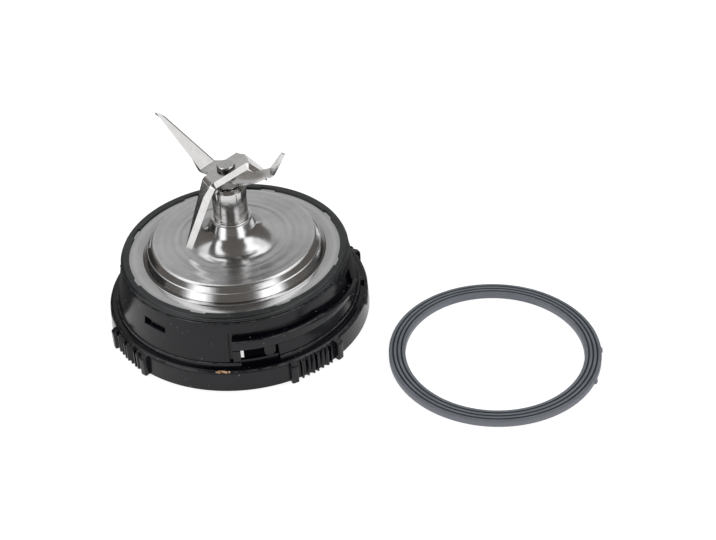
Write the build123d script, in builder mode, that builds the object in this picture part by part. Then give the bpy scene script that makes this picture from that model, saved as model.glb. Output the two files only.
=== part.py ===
"""Blade unit of a kitchen blender jug, with its jug seal lying beside it.

Millimetres, +Z up. The origin is on the spin axis, in the plane that the grip collar stands on.
Azimuths are degrees about +Z, counted from +X.
"""

import os
from math import cos, radians, sin, tan

from build123d import *

os.makedirs("parts", exist_ok=True)

# Grip collar: the moulded base with the bayonet and the grip ring
NECK_R = 47.0  # top of the cone wall; the collar's other radii follow from it
CONE_FLARE = 3.3  # how much wider the cone wall is at its foot
CONE_WALL = 2.5
COLLAR_H = 28.5
PLINTH_STEP = 0.9  # small step where the cone wall stands on the flange
PLINTH_H = 1.9
PLINTH_DRAFT = 0.2
FLANGE_W = 2.8  # flat top of the grip ring, outside the plinth
FLANGE_T = 2.4
GRIP_RING_H = 9.6
GRIP_RING_DRAFT = 0.6
GRIP_RING_ROUND = 1.3
GRIP_RING_WALL = 2.5
SEAT_DEPTH = 1.1  # rebate that the blade carrier drops into
SEAT_LIP = 0.7

# Bayonet frame on the cone wall, twice round; its spans are degrees from the bar's left edge
BAYONET_COUNT = 2
BAYONET_AZ = -90.1  # left edge of the upright bar
BAYONET_SPAN = 81.1
LEDGE_TOP_Z = 21.7
LEDGE_H = 4.6
LEDGE_OUT = 2.3  # how far the ledge stands out at its top
RAMP_AZ = 45.0  # where the ledge's top starts to fall away
RAMP_END_H = 0.4  # height left at the ramp's end
BAR_SPAN = 3.4
BAR_GROOVE_SPAN = 1.7  # upright groove beside the bar
CHANNEL_H = 3.3
CHANNEL_DEPTH = 1.4
CHANNEL_SPAN = 77.1
LEDGE_ROOT = 0.15  # how far the ledge is rooted behind the channel's floor
WINDOW_SPAN = 17.6
WINDOW_RECESS = 1.0  # plinth cut back under the window
POCKET_OFFSET = 1.3  # slit left open beside the pocket, in degrees
POCKET_SPAN = 20.5
POCKET_DEPTH = 2.8
POCKET_WALL = 1.5
TONGUE_AZ = 16.8  # middle of the latch tongue
TONGUE_W = 4.8
TONGUE_DROP = 5.0
TONGUE_INSET = 0.6
TONGUE_T = 1.5
TONGUE_ROOT = 1.0  # how far the tongue reaches up into the ledge
DETENT_AZ = -130.2
DETENT_SPAN = 13.4
DETENT_TOP_Z = 23.0
DETENT_FLOOR_Z = 20.2
DETENT_FOOT_Z = 19.7
DETENT_DEPTH = 1.8
SLOT_AZ = -1.2  # drain slot in the flange
SLOT_INSET = 0.8
SLOT_W = 1.3
SLOT_L = 4.0

# Grip groups on the ring: two lugs with flat ribs between them
GRIP_COUNT = 4
GRIP_AZ = -53.5
LUG_OFFSET = 11.6
LUG_OUT = 2.5
LUG_W = 3.0
LUG_H = 9.0
LUG_ROUND = 0.7
RIB_COUNT = 7
RIB_PITCH = 2.45
RIB_OUT = 1.5
RIB_W = 1.7
RIB_H = 8.8
GRIP_ROOT = 1.6  # how far lugs and ribs reach into the ring wall

# Dome plate: pressed steel, its top surface from the edge inwards
SHEET_T = 0.8
ANNULUS_W = 7.4
STEP_FOOT_RUN = 0.3
STEP_FOOT_RISE = 1.15
STEP_RUN = 1.5
STEP_RISE = 2.9
STEP_LAND = 0.35
SHOULDER_RUN = 1.85
SHOULDER_RISE = 2.5
FLARE_FOOT_R = 22.5
FLARE_FOOT_RISE = 0.4
FLARE_RISE = 6.2
FLARE_SAG = 2.2  # how hollow the flare is, from its chord
PLATE_COLLAR_RUN = 1.2
PLATE_COLLAR_RISE = 3.3
PLATE_COLLAR_W = 1.2

# Rim ring over the plate's edge
RIM_WALL = 1.9
RIM_LIP = 1.0
RIM_LIP_T = 0.55
RIM_BEAD_H = 0.5  # foot of the rim, a little proud of its upper part
RIM_BEAD_OUT = 0.3
RIM_ROUND = 0.5
RIM_NOTCH_COUNT = 8
RIM_NOTCH_AZ = -17.0
RIM_NOTCH_SPAN = 8.5
RIM_NOTCH_DEPTH = 0.75
PLATE_FIT = 0.2  # round the plate's edge, and between the sliding rims

# Blade carrier: moulded disc under the plate
CARRIER_WALL = 2.5
CARRIER_FLANGE_T = 1.65
CARRIER_SKIRT_Z = 20.0
WEB_Z = 24.2
WEB_T = 2.5
BOSS_WALL = 4.0
BOSS_TOP_Z = 35.6
CARRIER_RIB_COUNT = 8
CARRIER_RIB_T = 1.6
CARRIER_RIB_Z = 20.6
GASKET_T = 0.75
GASKET_W = 5.2
GASKET_EDGE = 0.3  # carrier lip outside the gasket
SKIRT_FIT = 0.3  # between the carrier's skirt and the collar

# Bearing housing and what it holds
NECK_TUBE_R = 7.1
NECK_L = 15.7  # above the plate
NECK_FLANGE_R = 8.4
NECK_FLANGE_T = 0.8
NECK_CHAMFER = 1.1
HOUSING_BOTTOM_Z = 17.0
HOUSING_THREAD_R = 6.5
HOUSING_SHOULDER_Z = 36.0
BORE_R = 5.05
SEAL_POCKET_R = 5.8
SEAL_POCKET_H = 4.4
SEAL_H = 3.2
SEAL_LIP_T = 0.5
CAP_T = 0.8
UPPER_BUSH_L = 13.0
LOWER_BUSH_L = 11.4
BUSH_INSET = 0.5
PRESS_FIT = 0.03
RUNNING_FIT = 0.04
O_RING_WIRE_R = 0.4
WASHER_T = 1.0
HOUSING_WASHER_R = 12.0
HOUSING_NUT_AF = 22.0
HOUSING_NUT_H = 5.0
THREAD_FIT = 0.05

# Shaft and the blades on it
SHAFT_R = 4.0
SHAFT_COLLAR_R = 5.0
SHAFT_COLLAR_H = 0.8
SHAFT_COLLAR_GAP = 0.35
BLADE_T = 1.6
TANG_R = 3.0
TANG_FLATS = 4.6  # across the two flats that turn the blades
HEAD_R = 3.7
HEAD_H = 1.8
HEAD_ROUND = 0.6
SPACER_R = 5.6
SPACER_H = 3.25
CLIP_GROOVE_R = 3.4
CLIP_Z = 15.3
CLIP_T = 0.75
CLIP_R = 6.2
CLIP_MOUTH = 5.0
THRUST_GAP = 0.25
DRIVE_TOP_Z = 14.6
DRIVE_R = 3.5
DRIVE_FLATS = 5.6
STUD_R = 2.5
STUD_END_Z = 2.6
BEND_R = 0.9  # inside radius of the folds in the blades
TANG_FIT = 0.05

# Blade outlines. A fold has the middle of its line on the sheet's top face, the way its arm leaves in plan,
# and the bend (down is positive). A section of an arm is the distance from the fold, then the offsets to the
# left of the arm's own direction of its rear edge, of the edge on the top face and of the edge underneath.
DOWN_FOLD = ((-7.2, -8.4), -151.0, 69.5)
DOWN_ARM = (
    (0.0, -3.4, 3.0, 4.9),
    (7.0, -3.4, 0.75, 3.5),
    (31.8, -3.3, -3.0, -0.6),
)
EAR_FOLD = ((7.7, 6.6), 17.9, 48.5)
EAR_ARM = (
    (0.0, 3.7, -3.7, -6.1),
    (11.5, 2.3, -2.7, -5.0),
)
UPPER_BACK = ((3.7, 11.0), (-0.75, 5.85), (-6.6, -0.6))  # back edge of the upper blade, round its hub
UP_FOLD = ((-7.95, 5.35), 140.9, -41.8)
UP_ARM = (
    (0.0, -4.16, 4.1, 4.0),
    (8.0, -2.4, 4.1, 2.4),
    (25.3, 1.6, 4.0, 2.5),
    (28.6, 3.3, 3.9, 3.6),
)
FLICK_FOLD = ((17.55, -2.4), 4.4, -60.0)
FLICK_ARM = (
    (0.0, 3.2, -2.8, -1.4),
    (10.0, 0.5, -0.9, -0.3),
)
LOWER_BACK = ((15.0, 0.2), (13.3, -0.5), (10.7, -1.55), (-0.9, 8.2))  # from the short arm to the long one
LOWER_FRONT = ((4.2, -9.2), (8.0, -9.2), (12.0, -8.1), (15.3, -5.5))  # back again, under the upper blade
LOWER_GRIND = 0.9  # how far the front edge is ground back underneath

# Drive coupling under the unit
COUPLING_R = 15.0
COUPLING_TOP_Z = 14.5
COUPLING_DISC_T = 3.0
COUPLING_HUB_R = 7.6
DOG_COUNT = 6
DOG_BOTTOM_Z = 3.0
DOG_INNER_R = 9.4
DOG_SPAN = 26.0
INSERT_R = 5.5
INSERT_BOTTOM_Z = 6.5
COUPLING_WASHER_T = 0.6
COUPLING_NUT_AF = 8.0
COUPLING_NUT_H = 2.7

# Jug seal, taken off and lying on the same surface
SEAL_X = 103.7
SEAL_Y = -39.5
SEAL_OUTER_R = 42.6
SEAL_BAND = 6.7
SEAL_THICK = 2.9
GROOVE_COUNT = 3
GROOVE_W = 0.7
GROOVE_DEPTH = 0.5
SEAL_ROUND = 0.5
FLASH_AZ = (-2.3, -28.1)  # two nubs of moulding flash
FLASH_W = 1.6
FLASH_OUT = 0.7
FLASH_H = 1.6

# Sizes worked out from the ones above
flange_z = GRIP_RING_H - FLANGE_T
plinth_z = GRIP_RING_H + PLINTH_H
cone_foot_r = NECK_R + CONE_FLARE
cone_slope = CONE_FLARE / (COLLAR_H - plinth_z)
plinth_r = cone_foot_r + PLINTH_STEP
collar_top_r = plinth_r + FLANGE_W
collar_foot_r = collar_top_r + GRIP_RING_DRAFT
seat_z = COLLAR_H - SEAT_DEPTH
seat_r = NECK_R - SEAT_LIP
ledge_z = LEDGE_TOP_Z - LEDGE_H
channel_z = LEDGE_TOP_Z + CHANNEL_H
bayonet_step = 360.0 / BAYONET_COUNT
grip_azimuths = [GRIP_AZ + group * 360.0 / GRIP_COUNT for group in range(GRIP_COUNT)]
plate_r = NECK_R - RIM_WALL - PLATE_FIT
plate_under_z = seat_z + CARRIER_FLANGE_T
plate_z = plate_under_z + SHEET_T
step_foot_r = plate_r - ANNULUS_W
step_foot_z = plate_z + STEP_FOOT_RISE
step_r = step_foot_r - STEP_FOOT_RUN - STEP_RUN
step_z = step_foot_z + STEP_RISE
plateau_r = step_r - STEP_LAND - SHOULDER_RUN
plateau_z = step_z + SHOULDER_RISE
flare_foot_z = plateau_z + FLARE_FOOT_RISE
flare_top_z = plateau_z + FLARE_FOOT_RISE + FLARE_RISE
plate_hole_r = NECK_TUBE_R + PLATE_FIT
plate_collar_r = plate_hole_r + PLATE_COLLAR_W
plate_collar_z = flare_top_z + PLATE_COLLAR_RISE
flare_top_r = plate_collar_r + PLATE_COLLAR_RUN
rim_top_z = plate_z + RIM_LIP_T
rim_lip_r = plate_r - RIM_LIP
skirt_r = NECK_R + SEAT_DEPTH * cone_slope - CONE_WALL - SKIRT_FIT
neck_top_z = plate_collar_z + NECK_L
shaft_collar_z = neck_top_z + SHAFT_COLLAR_GAP
spacer_z = shaft_collar_z + SHAFT_COLLAR_H
blade_under_z = spacer_z + SPACER_H
upper_under_z = blade_under_z + BLADE_T
blade_top_z = upper_under_z + BLADE_T
clip_top_z = CLIP_Z + CLIP_T
seal_inner_r = SEAL_OUTER_R - SEAL_BAND
bottom_centre = (Align.CENTER, Align.CENTER, Align.MIN)


def cone_r(z):
    """Outside radius of the collar's cone wall at height z."""
    return NECK_R + (COLLAR_H - z) * cone_slope


def channel_r(z):
    """Radius of the bayonet channel's floor at height z."""
    return cone_r(z) - CHANNEL_DEPTH


def polar(radius, azimuth):
    """Point in plan at a radius and an azimuth in degrees."""
    return radius * cos(radians(azimuth)), radius * sin(radians(azimuth))


def half_plane(azimuth):
    """Plane through the spin axis at an azimuth: local X runs outwards, local Y runs up."""
    return Plane(origin=(0, 0, 0), x_dir=(*polar(1, azimuth), 0), z_dir=(*polar(1, azimuth - 90), 0))


def wall_plane(radius, azimuth, z):
    """Plane across a radius: local X runs round the axis, local Y up, and its normal outwards."""
    return Plane(
        origin=(*polar(radius, azimuth), z),
        x_dir=(*polar(1, azimuth + 90), 0),
        z_dir=(*polar(1, azimuth), 0),
    )


def at(radius, azimuth, z=0.0):
    """Location at a radius and an azimuth, turned so that its X runs outwards."""
    return Location((*polar(radius, azimuth), z), (0, 0, azimuth))


# Lug of the grip ring: rounded by itself, then repeated round the ring
lug_r = collar_top_r + LUG_OUT
with BuildPart() as grip_lug:
    Box(LUG_OUT + GRIP_ROOT, LUG_W, LUG_H, align=(Align.MAX, Align.CENTER, Align.MIN))
    fillet(grip_lug.edges().filter_by(Axis.Z).group_by(Axis.X)[-1], LUG_ROUND)
    lug_top = grip_lug.faces().sort_by(Axis.Z)[-1]
    fillet(lug_top.edges().sort_by(Axis.X)[1:], LUG_ROUND)

# Bayonet ledge with its upright bar, from azimuth 0: the ledge's far end falls away in a lead-in ramp
ledge_r = cone_r(LEDGE_TOP_Z) + LEDGE_OUT
ledge_in_r = channel_r(LEDGE_TOP_Z) - LEDGE_ROOT
ramp_half = (BAYONET_SPAN - RAMP_AZ) / 2
ramp_x = ledge_r * sin(radians(ramp_half))
with BuildPart() as bayonet_ledge:
    with BuildSketch(half_plane(0)):
        with Locations((ledge_in_r, ledge_z)):
            Rectangle(ledge_r - ledge_in_r, LEDGE_H, align=Align.MIN)
    revolve(axis=Axis.Z, revolution_arc=BAYONET_SPAN)
    with BuildSketch(wall_plane(0, RAMP_AZ + ramp_half, LEDGE_TOP_Z)):
        with BuildLine():
            Polyline(
                (-ramp_x, 0),
                (ramp_x, RAMP_END_H - LEDGE_H),
                (2 * ramp_x, RAMP_END_H - LEDGE_H),
                (2 * ramp_x, LEDGE_H),
                (-ramp_x, LEDGE_H),
                close=True,
            )
        make_face()
    extrude(amount=2 * ledge_r, mode=Mode.SUBTRACT)
    with BuildSketch(half_plane(0)):
        with Locations((ledge_in_r, GRIP_RING_H)):
            Rectangle(ledge_r - ledge_in_r, LEDGE_TOP_Z - GRIP_RING_H, align=Align.MIN)
    revolve(axis=Axis.Z, revolution_arc=BAR_SPAN)

# Grip collar: one moulding, a turned shell with the bayonet, the detents and the grip groups on it
ring_in_r = collar_top_r - GRIP_RING_WALL
pocket_r = cone_r(ledge_z) - CONE_WALL - POCKET_DEPTH
pocket_side_r = cone_r(plinth_z) - CONE_WALL / 2
sill_r = cone_foot_r - WINDOW_RECESS
rib_r = collar_top_r + RIB_OUT
with BuildPart() as grip_collar:
    with BuildSketch(Plane.XZ):
        with BuildLine():
            Polyline(
                (collar_foot_r, 0),
                (collar_top_r, GRIP_RING_H),
                (plinth_r, GRIP_RING_H),
                (plinth_r - PLINTH_DRAFT, plinth_z),
                (cone_foot_r, plinth_z),
                (NECK_R, COLLAR_H),
                (seat_r, COLLAR_H),
                (seat_r, seat_z),
                (cone_r(seat_z) - CONE_WALL, seat_z),
                (cone_r(flange_z) - CONE_WALL, flange_z),
                (ring_in_r, flange_z),
                (ring_in_r, 0),
                close=True,
            )
        make_face()
    revolve(axis=Axis.Z)
    ring_tops = grip_collar.edges().filter_by(GeomType.CIRCLE).group_by(SortBy.RADIUS)[-2:]
    fillet([edge for group in ring_tops for edge in group if edge.center().Z > flange_z], GRIP_RING_ROUND)
    for turn in range(BAYONET_COUNT):
        left = BAYONET_AZ + turn * bayonet_step
        window_az = left + BAR_SPAN
        cuts = (
            (left - BAR_GROOVE_SPAN, CHANNEL_SPAN + BAR_GROOVE_SPAN, LEDGE_TOP_Z),
            (left - BAR_GROOVE_SPAN, BAR_GROOVE_SPAN, plinth_z),
            (left + RAMP_AZ, CHANNEL_SPAN - RAMP_AZ, ledge_z),
        )
        for cut_az, cut_span, foot_z in cuts:
            with BuildSketch(half_plane(cut_az)):
                with BuildLine():
                    Polyline(
                        (channel_r(foot_z), foot_z),
                        (plinth_r, foot_z),
                        (plinth_r, channel_z),
                        (channel_r(channel_z), channel_z),
                        close=True,
                    )
                make_face()
            revolve(axis=Axis.Z, revolution_arc=cut_span, mode=Mode.SUBTRACT)
        with Locations(Location((0, 0, 0), (0, 0, left))):
            add(bayonet_ledge.part)
        with BuildSketch(half_plane(window_az)):
            with Locations((pocket_r, plinth_z)):
                Rectangle(plinth_r - pocket_r, ledge_z - plinth_z, align=Align.MIN)
            with Locations((sill_r, GRIP_RING_H)):
                Rectangle(plinth_r - sill_r, PLINTH_H, align=Align.MIN)
        revolve(axis=Axis.Z, revolution_arc=WINDOW_SPAN, mode=Mode.SUBTRACT)
        with BuildSketch(half_plane(window_az + POCKET_OFFSET)):
            with Locations((pocket_r, flange_z)):
                Rectangle(POCKET_WALL, ledge_z + POCKET_WALL - flange_z, align=Align.MIN)
            with Locations((pocket_r, ledge_z)):
                Rectangle(ledge_in_r + LEDGE_ROOT - pocket_r, POCKET_WALL, align=Align.MIN)
        revolve(axis=Axis.Z, revolution_arc=POCKET_SPAN)
        with BuildSketch(half_plane(window_az + WINDOW_SPAN)):
            with Locations((pocket_r, flange_z)):
                Rectangle(pocket_side_r - pocket_r, ledge_z - flange_z, align=Align.MIN)
        revolve(axis=Axis.Z, revolution_arc=POCKET_OFFSET + POCKET_SPAN - WINDOW_SPAN)
        with BuildSketch(wall_plane(ledge_r - TONGUE_INSET, left + TONGUE_AZ, ledge_z)):
            with Locations((0, TONGUE_ROOT)):
                Rectangle(
                    TONGUE_W, TONGUE_ROOT + TONGUE_DROP - TONGUE_W / 2, align=(Align.CENTER, Align.MAX)
                )
            with Locations((0, TONGUE_W / 2 - TONGUE_DROP)):
                Circle(TONGUE_W / 2)
        extrude(amount=-TONGUE_T)
        with BuildSketch(half_plane(DETENT_AZ - DETENT_SPAN / 2 + turn * bayonet_step)):
            with BuildLine():
                Polyline(
                    (plinth_r, DETENT_TOP_Z),
                    (cone_r(DETENT_TOP_Z) - DETENT_DEPTH, DETENT_TOP_Z),
                    (cone_r(DETENT_FLOOR_Z) - DETENT_DEPTH, DETENT_FLOOR_Z),
                    (cone_r(DETENT_FOOT_Z), DETENT_FOOT_Z),
                    (plinth_r, DETENT_FOOT_Z),
                    close=True,
                )
            make_face()
        revolve(axis=Axis.Z, revolution_arc=DETENT_SPAN, mode=Mode.SUBTRACT)
    with Locations(at(plinth_r + SLOT_INSET, SLOT_AZ, GRIP_RING_H)):
        Box(SLOT_W, SLOT_L, 2 * FLANGE_T, mode=Mode.SUBTRACT)
    for group_az in grip_azimuths:
        for rib in range(RIB_COUNT):
            rib_az = group_az + (rib - (RIB_COUNT - 1) / 2) * RIB_PITCH
            with Locations(at(rib_r, rib_az)):
                Box(RIB_OUT + GRIP_ROOT, RIB_W, RIB_H, align=(Align.MAX, Align.CENTER, Align.MIN))
        with Locations(at(lug_r, group_az - LUG_OFFSET), at(lug_r, group_az + LUG_OFFSET)):
            add(grip_lug.part)
grip_collar.part.label = "grip_collar"
export_step(grip_collar.part, "parts/grip_collar.step")

# Rim ring: clamps the plate's edge, with eight notches in its inner lip
with BuildPart() as rim_ring:
    with BuildSketch(Plane.XZ):
        with BuildLine():
            Polyline(
                (plate_r + PLATE_FIT, plate_under_z),
                (NECK_R, plate_under_z),
                (NECK_R, plate_under_z + RIM_BEAD_H),
                (NECK_R - RIM_BEAD_OUT, plate_under_z + RIM_BEAD_H),
                (NECK_R - RIM_BEAD_OUT, rim_top_z),
                (rim_lip_r, rim_top_z),
                (rim_lip_r, plate_z),
                (plate_r + PLATE_FIT, plate_z),
                close=True,
            )
        make_face()
    revolve(axis=Axis.Z)
    fillet(rim_ring.edges().group_by(Axis.Z)[-1].sort_by(SortBy.RADIUS)[-1], RIM_ROUND)
    for notch in range(RIM_NOTCH_COUNT):
        notch_az = RIM_NOTCH_AZ + notch * 360.0 / RIM_NOTCH_COUNT
        with BuildSketch(half_plane(notch_az - RIM_NOTCH_SPAN / 2)):
            with Locations((rim_lip_r + RIM_NOTCH_DEPTH, plate_z)):
                Rectangle(2 * RIM_NOTCH_DEPTH, RIM_LIP_T, align=(Align.MAX, Align.MIN))
        revolve(axis=Axis.Z, revolution_arc=RIM_NOTCH_SPAN, mode=Mode.SUBTRACT)
rim_ring.part.label = "rim_ring"
export_step(rim_ring.part, "parts/rim_ring.step")

# Dome plate: one pressed sheet, its top line offset down by the sheet's thickness
with BuildPart() as dome_plate:
    with BuildSketch(Plane.XZ):
        with BuildLine():
            Polyline(
                (plate_r, plate_z),
                (step_foot_r, plate_z),
                (step_foot_r - STEP_FOOT_RUN, step_foot_z),
                (step_r, step_z),
                (step_r - STEP_LAND, step_z),
                (plateau_r, plateau_z),
                (FLARE_FOOT_R, flare_foot_z),
            )
            SagittaArc((FLARE_FOOT_R, flare_foot_z), (flare_top_r, flare_top_z), FLARE_SAG)
            Polyline(
                (flare_top_r, flare_top_z),
                (plate_collar_r, plate_collar_z),
                (plate_hole_r, plate_collar_z),
            )
            offset(amount=SHEET_T, side=Side.LEFT)
        make_face()
    revolve(axis=Axis.Z)
dome_plate.part.label = "dome_plate"
export_step(dome_plate.part, "parts/dome_plate.step")

# Plate gasket: flat ring in a groove of the carrier, under the plate
gasket_out_r = skirt_r - GASKET_EDGE
with BuildPart() as plate_gasket:
    with BuildSketch(Plane.XY.offset(plate_under_z - GASKET_T)):
        Circle(gasket_out_r - PLATE_FIT)
        Circle(gasket_out_r - GASKET_W, mode=Mode.SUBTRACT)
    extrude(amount=GASKET_T)
plate_gasket.part.label = "plate_gasket"
export_step(plate_gasket.part, "parts/plate_gasket.step")

# Blade carrier: moulded disc with a flange, a skirt, a boss and radial ribs
boss_in_r = HOUSING_THREAD_R + THREAD_FIT
groove_in_r = gasket_out_r - GASKET_W - PLATE_FIT
with BuildPart() as blade_carrier:
    with BuildSketch(Plane.XZ):
        with BuildLine():
            Polyline(
                (seat_r - PLATE_FIT, seat_z),
                (seat_r - PLATE_FIT, plate_under_z),
                (gasket_out_r, plate_under_z),
                (gasket_out_r, plate_under_z - GASKET_T),
                (groove_in_r, plate_under_z - GASKET_T),
                (groove_in_r - CARRIER_WALL / 2, plate_under_z - GASKET_T),
                (groove_in_r - CARRIER_WALL / 2, WEB_Z + WEB_T),
                (boss_in_r + BOSS_WALL, WEB_Z + WEB_T),
                (boss_in_r + BOSS_WALL, BOSS_TOP_Z),
                (boss_in_r, BOSS_TOP_Z),
                (boss_in_r, WEB_Z),
                (skirt_r - CARRIER_WALL, WEB_Z),
                (skirt_r - CARRIER_WALL, CARRIER_SKIRT_Z),
                (skirt_r, CARRIER_SKIRT_Z),
                (skirt_r, seat_z),
                close=True,
            )
        make_face()
    revolve(axis=Axis.Z)
    with PolarLocations(HOUSING_WASHER_R + CARRIER_WALL, CARRIER_RIB_COUNT):
        with Locations((0, 0, WEB_Z)):
            Box(
                skirt_r - HOUSING_WASHER_R - 1.5 * CARRIER_WALL,
                CARRIER_RIB_T,
                WEB_Z - CARRIER_RIB_Z,
                align=(Align.MIN, Align.CENTER, Align.MAX),
            )
blade_carrier.part.label = "blade_carrier"
export_step(blade_carrier.part, "parts/blade_carrier.step")

# Bearing housing: turned tube with a flange that clamps the plate and a thread below
seal_pocket_z = neck_top_z - SEAL_POCKET_H
o_ring_z = plate_collar_z - O_RING_WIRE_R
o_ring_r = plate_hole_r - O_RING_WIRE_R
o_groove_r = o_ring_r - O_RING_WIRE_R - PRESS_FIT
o_groove_z = o_ring_z - O_RING_WIRE_R - PRESS_FIT
with BuildPart() as bearing_housing:
    with BuildSketch(Plane.XZ):
        with BuildLine():
            Polyline(
                (NECK_TUBE_R, plate_collar_z + NECK_FLANGE_T),
                (NECK_TUBE_R, neck_top_z - NECK_CHAMFER),
                (NECK_TUBE_R - NECK_CHAMFER, neck_top_z),
                (SEAL_POCKET_R, neck_top_z),
                (SEAL_POCKET_R, seal_pocket_z),
                (BORE_R, seal_pocket_z),
                (BORE_R, HOUSING_BOTTOM_Z),
                (HOUSING_THREAD_R, HOUSING_BOTTOM_Z),
                (HOUSING_THREAD_R, HOUSING_SHOULDER_Z),
                (NECK_TUBE_R, HOUSING_SHOULDER_Z),
                (NECK_TUBE_R, o_groove_z),
                (o_groove_r, o_groove_z),
                (o_groove_r, plate_collar_z),
                (NECK_FLANGE_R, plate_collar_z),
                (NECK_FLANGE_R, plate_collar_z + NECK_FLANGE_T),
                close=True,
            )
        make_face()
    revolve(axis=Axis.Z)
bearing_housing.part.label = "bearing_housing"
export_step(bearing_housing.part, "parts/bearing_housing.step")

# O-ring in the housing's groove, inside the edge of the plate's hole
with BuildPart() as housing_o_ring:
    with BuildSketch(Plane.XZ):
        with Locations((o_ring_r, o_ring_z)):
            Circle(O_RING_WIRE_R)
    revolve(axis=Axis.Z)
housing_o_ring.part.label = "housing_o_ring"
export_step(housing_o_ring.part, "parts/housing_o_ring.step")

# Washer and nut that pull the housing down onto the plate
housing_washer_z = WEB_Z - WASHER_T
with BuildPart() as housing_washer:
    with BuildSketch(Plane.XY.offset(housing_washer_z)):
        Circle(HOUSING_WASHER_R)
        Circle(HOUSING_THREAD_R + THREAD_FIT, mode=Mode.SUBTRACT)
    extrude(amount=WASHER_T)
housing_washer.part.label = "housing_washer"
export_step(housing_washer.part, "parts/housing_washer.step")

with BuildPart() as housing_nut:
    with BuildSketch(Plane.XY.offset(housing_washer_z - HOUSING_NUT_H)):
        RegularPolygon(HOUSING_NUT_AF / 2, 6, major_radius=False)
        Circle(HOUSING_THREAD_R + THREAD_FIT, mode=Mode.SUBTRACT)
    extrude(amount=HOUSING_NUT_H)
housing_nut.part.label = "housing_nut"
export_step(housing_nut.part, "parts/housing_nut.step")

# Two plain bushes pressed into the housing's bore
with BuildPart() as upper_bush:
    with BuildSketch(Plane.XY.offset(seal_pocket_z - BUSH_INSET)):
        Circle(BORE_R - PRESS_FIT)
        Circle(SHAFT_R + RUNNING_FIT, mode=Mode.SUBTRACT)
    extrude(amount=-UPPER_BUSH_L)
upper_bush.part.label = "upper_bush"
export_step(upper_bush.part, "parts/upper_bush.step")

with BuildPart() as lower_bush:
    with BuildSketch(Plane.XY.offset(HOUSING_BOTTOM_Z + BUSH_INSET)):
        Circle(BORE_R - PRESS_FIT)
        Circle(SHAFT_R + RUNNING_FIT, mode=Mode.SUBTRACT)
    extrude(amount=LOWER_BUSH_L)
lower_bush.part.label = "lower_bush"
export_step(lower_bush.part, "parts/lower_bush.step")

# Shaft seal: a rubber ring with one lip towards the shaft, under a pressed cap
seal_out_r = SEAL_POCKET_R - PRESS_FIT
seal_lip_r = SHAFT_R + 2 * RUNNING_FIT
seal_top_z = seal_pocket_z + SEAL_H
with BuildPart() as shaft_seal:
    with BuildSketch(Plane.XZ):
        with BuildLine():
            Polyline(
                (seal_out_r, seal_pocket_z),
                (seal_out_r, seal_top_z),
                (seal_lip_r + SEAL_LIP_T, seal_top_z),
                (seal_lip_r, seal_top_z - SEAL_H / 4),
                (seal_lip_r, seal_top_z - SEAL_H / 4 - SEAL_LIP_T),
                (BORE_R, seal_pocket_z + SEAL_LIP_T),
                (BORE_R, seal_pocket_z),
                close=True,
            )
        make_face()
    revolve(axis=Axis.Z)
shaft_seal.part.label = "shaft_seal"
export_step(shaft_seal.part, "parts/shaft_seal.step")

with BuildPart() as seal_cap:
    with BuildSketch(Plane.XY.offset(seal_top_z)):
        Circle(seal_out_r)
        Circle(seal_lip_r + SEAL_LIP_T, mode=Mode.SUBTRACT)
    extrude(amount=CAP_T)
seal_cap.part.label = "seal_cap"
export_step(seal_cap.part, "parts/seal_cap.step")

# Drive shaft: turned bar with a collar under the spacer, flats at both ends and a riveted head
clip_groove_z = CLIP_Z - RUNNING_FIT
drive_flats_z = INSERT_BOTTOM_Z + COUPLING_WASHER_T / 2
with BuildPart() as drive_shaft:
    with BuildSketch(Plane.XZ):
        with BuildLine():
            Polyline(
                (0, STUD_END_Z),
                (STUD_R, STUD_END_Z),
                (STUD_R, drive_flats_z),
                (DRIVE_R, drive_flats_z),
                (DRIVE_R, DRIVE_TOP_Z),
                (SHAFT_R, DRIVE_TOP_Z),
                (SHAFT_R, clip_groove_z),
                (CLIP_GROOVE_R, clip_groove_z),
                (CLIP_GROOVE_R, clip_top_z + RUNNING_FIT),
                (SHAFT_R, clip_top_z + RUNNING_FIT),
                (SHAFT_R, shaft_collar_z),
                (SHAFT_COLLAR_R, shaft_collar_z),
                (SHAFT_COLLAR_R, shaft_collar_z + SHAFT_COLLAR_H),
                (SHAFT_R, shaft_collar_z + SHAFT_COLLAR_H),
                (SHAFT_R, blade_under_z),
                (0, blade_under_z),
                close=True,
            )
        make_face()
    revolve(axis=Axis.Z)
    for flat_angle in (0, 180):
        with BuildSketch(Plane.XY.offset(drive_flats_z).rotated((0, 0, flat_angle))):
            with Locations((0, DRIVE_FLATS / 2)):
                Rectangle(2 * DRIVE_R, DRIVE_R, align=(Align.CENTER, Align.MIN))
        extrude(amount=DRIVE_TOP_Z - drive_flats_z, mode=Mode.SUBTRACT)
    with BuildSketch(Plane.XY.offset(blade_under_z)):
        Circle(TANG_R)
        Rectangle(2 * TANG_R, TANG_FLATS, mode=Mode.INTERSECT)
    extrude(amount=2 * BLADE_T)
    with BuildSketch(Plane.XY.offset(blade_top_z)):
        Circle(HEAD_R)
    extrude(amount=HEAD_H)
    fillet(drive_shaft.faces().sort_by(Axis.Z)[-1].edges(), HEAD_ROUND)
drive_shaft.part.label = "drive_shaft"
export_step(drive_shaft.part, "parts/drive_shaft.step")

# Spacer that lifts the blades clear of the housing
with BuildPart() as blade_spacer:
    with BuildSketch(Plane.XY.offset(spacer_z)):
        Circle(SPACER_R)
        Circle(SHAFT_R + PRESS_FIT, mode=Mode.SUBTRACT)
    extrude(amount=SPACER_H)
blade_spacer.part.label = "blade_spacer"
export_step(blade_spacer.part, "parts/blade_spacer.step")


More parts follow.
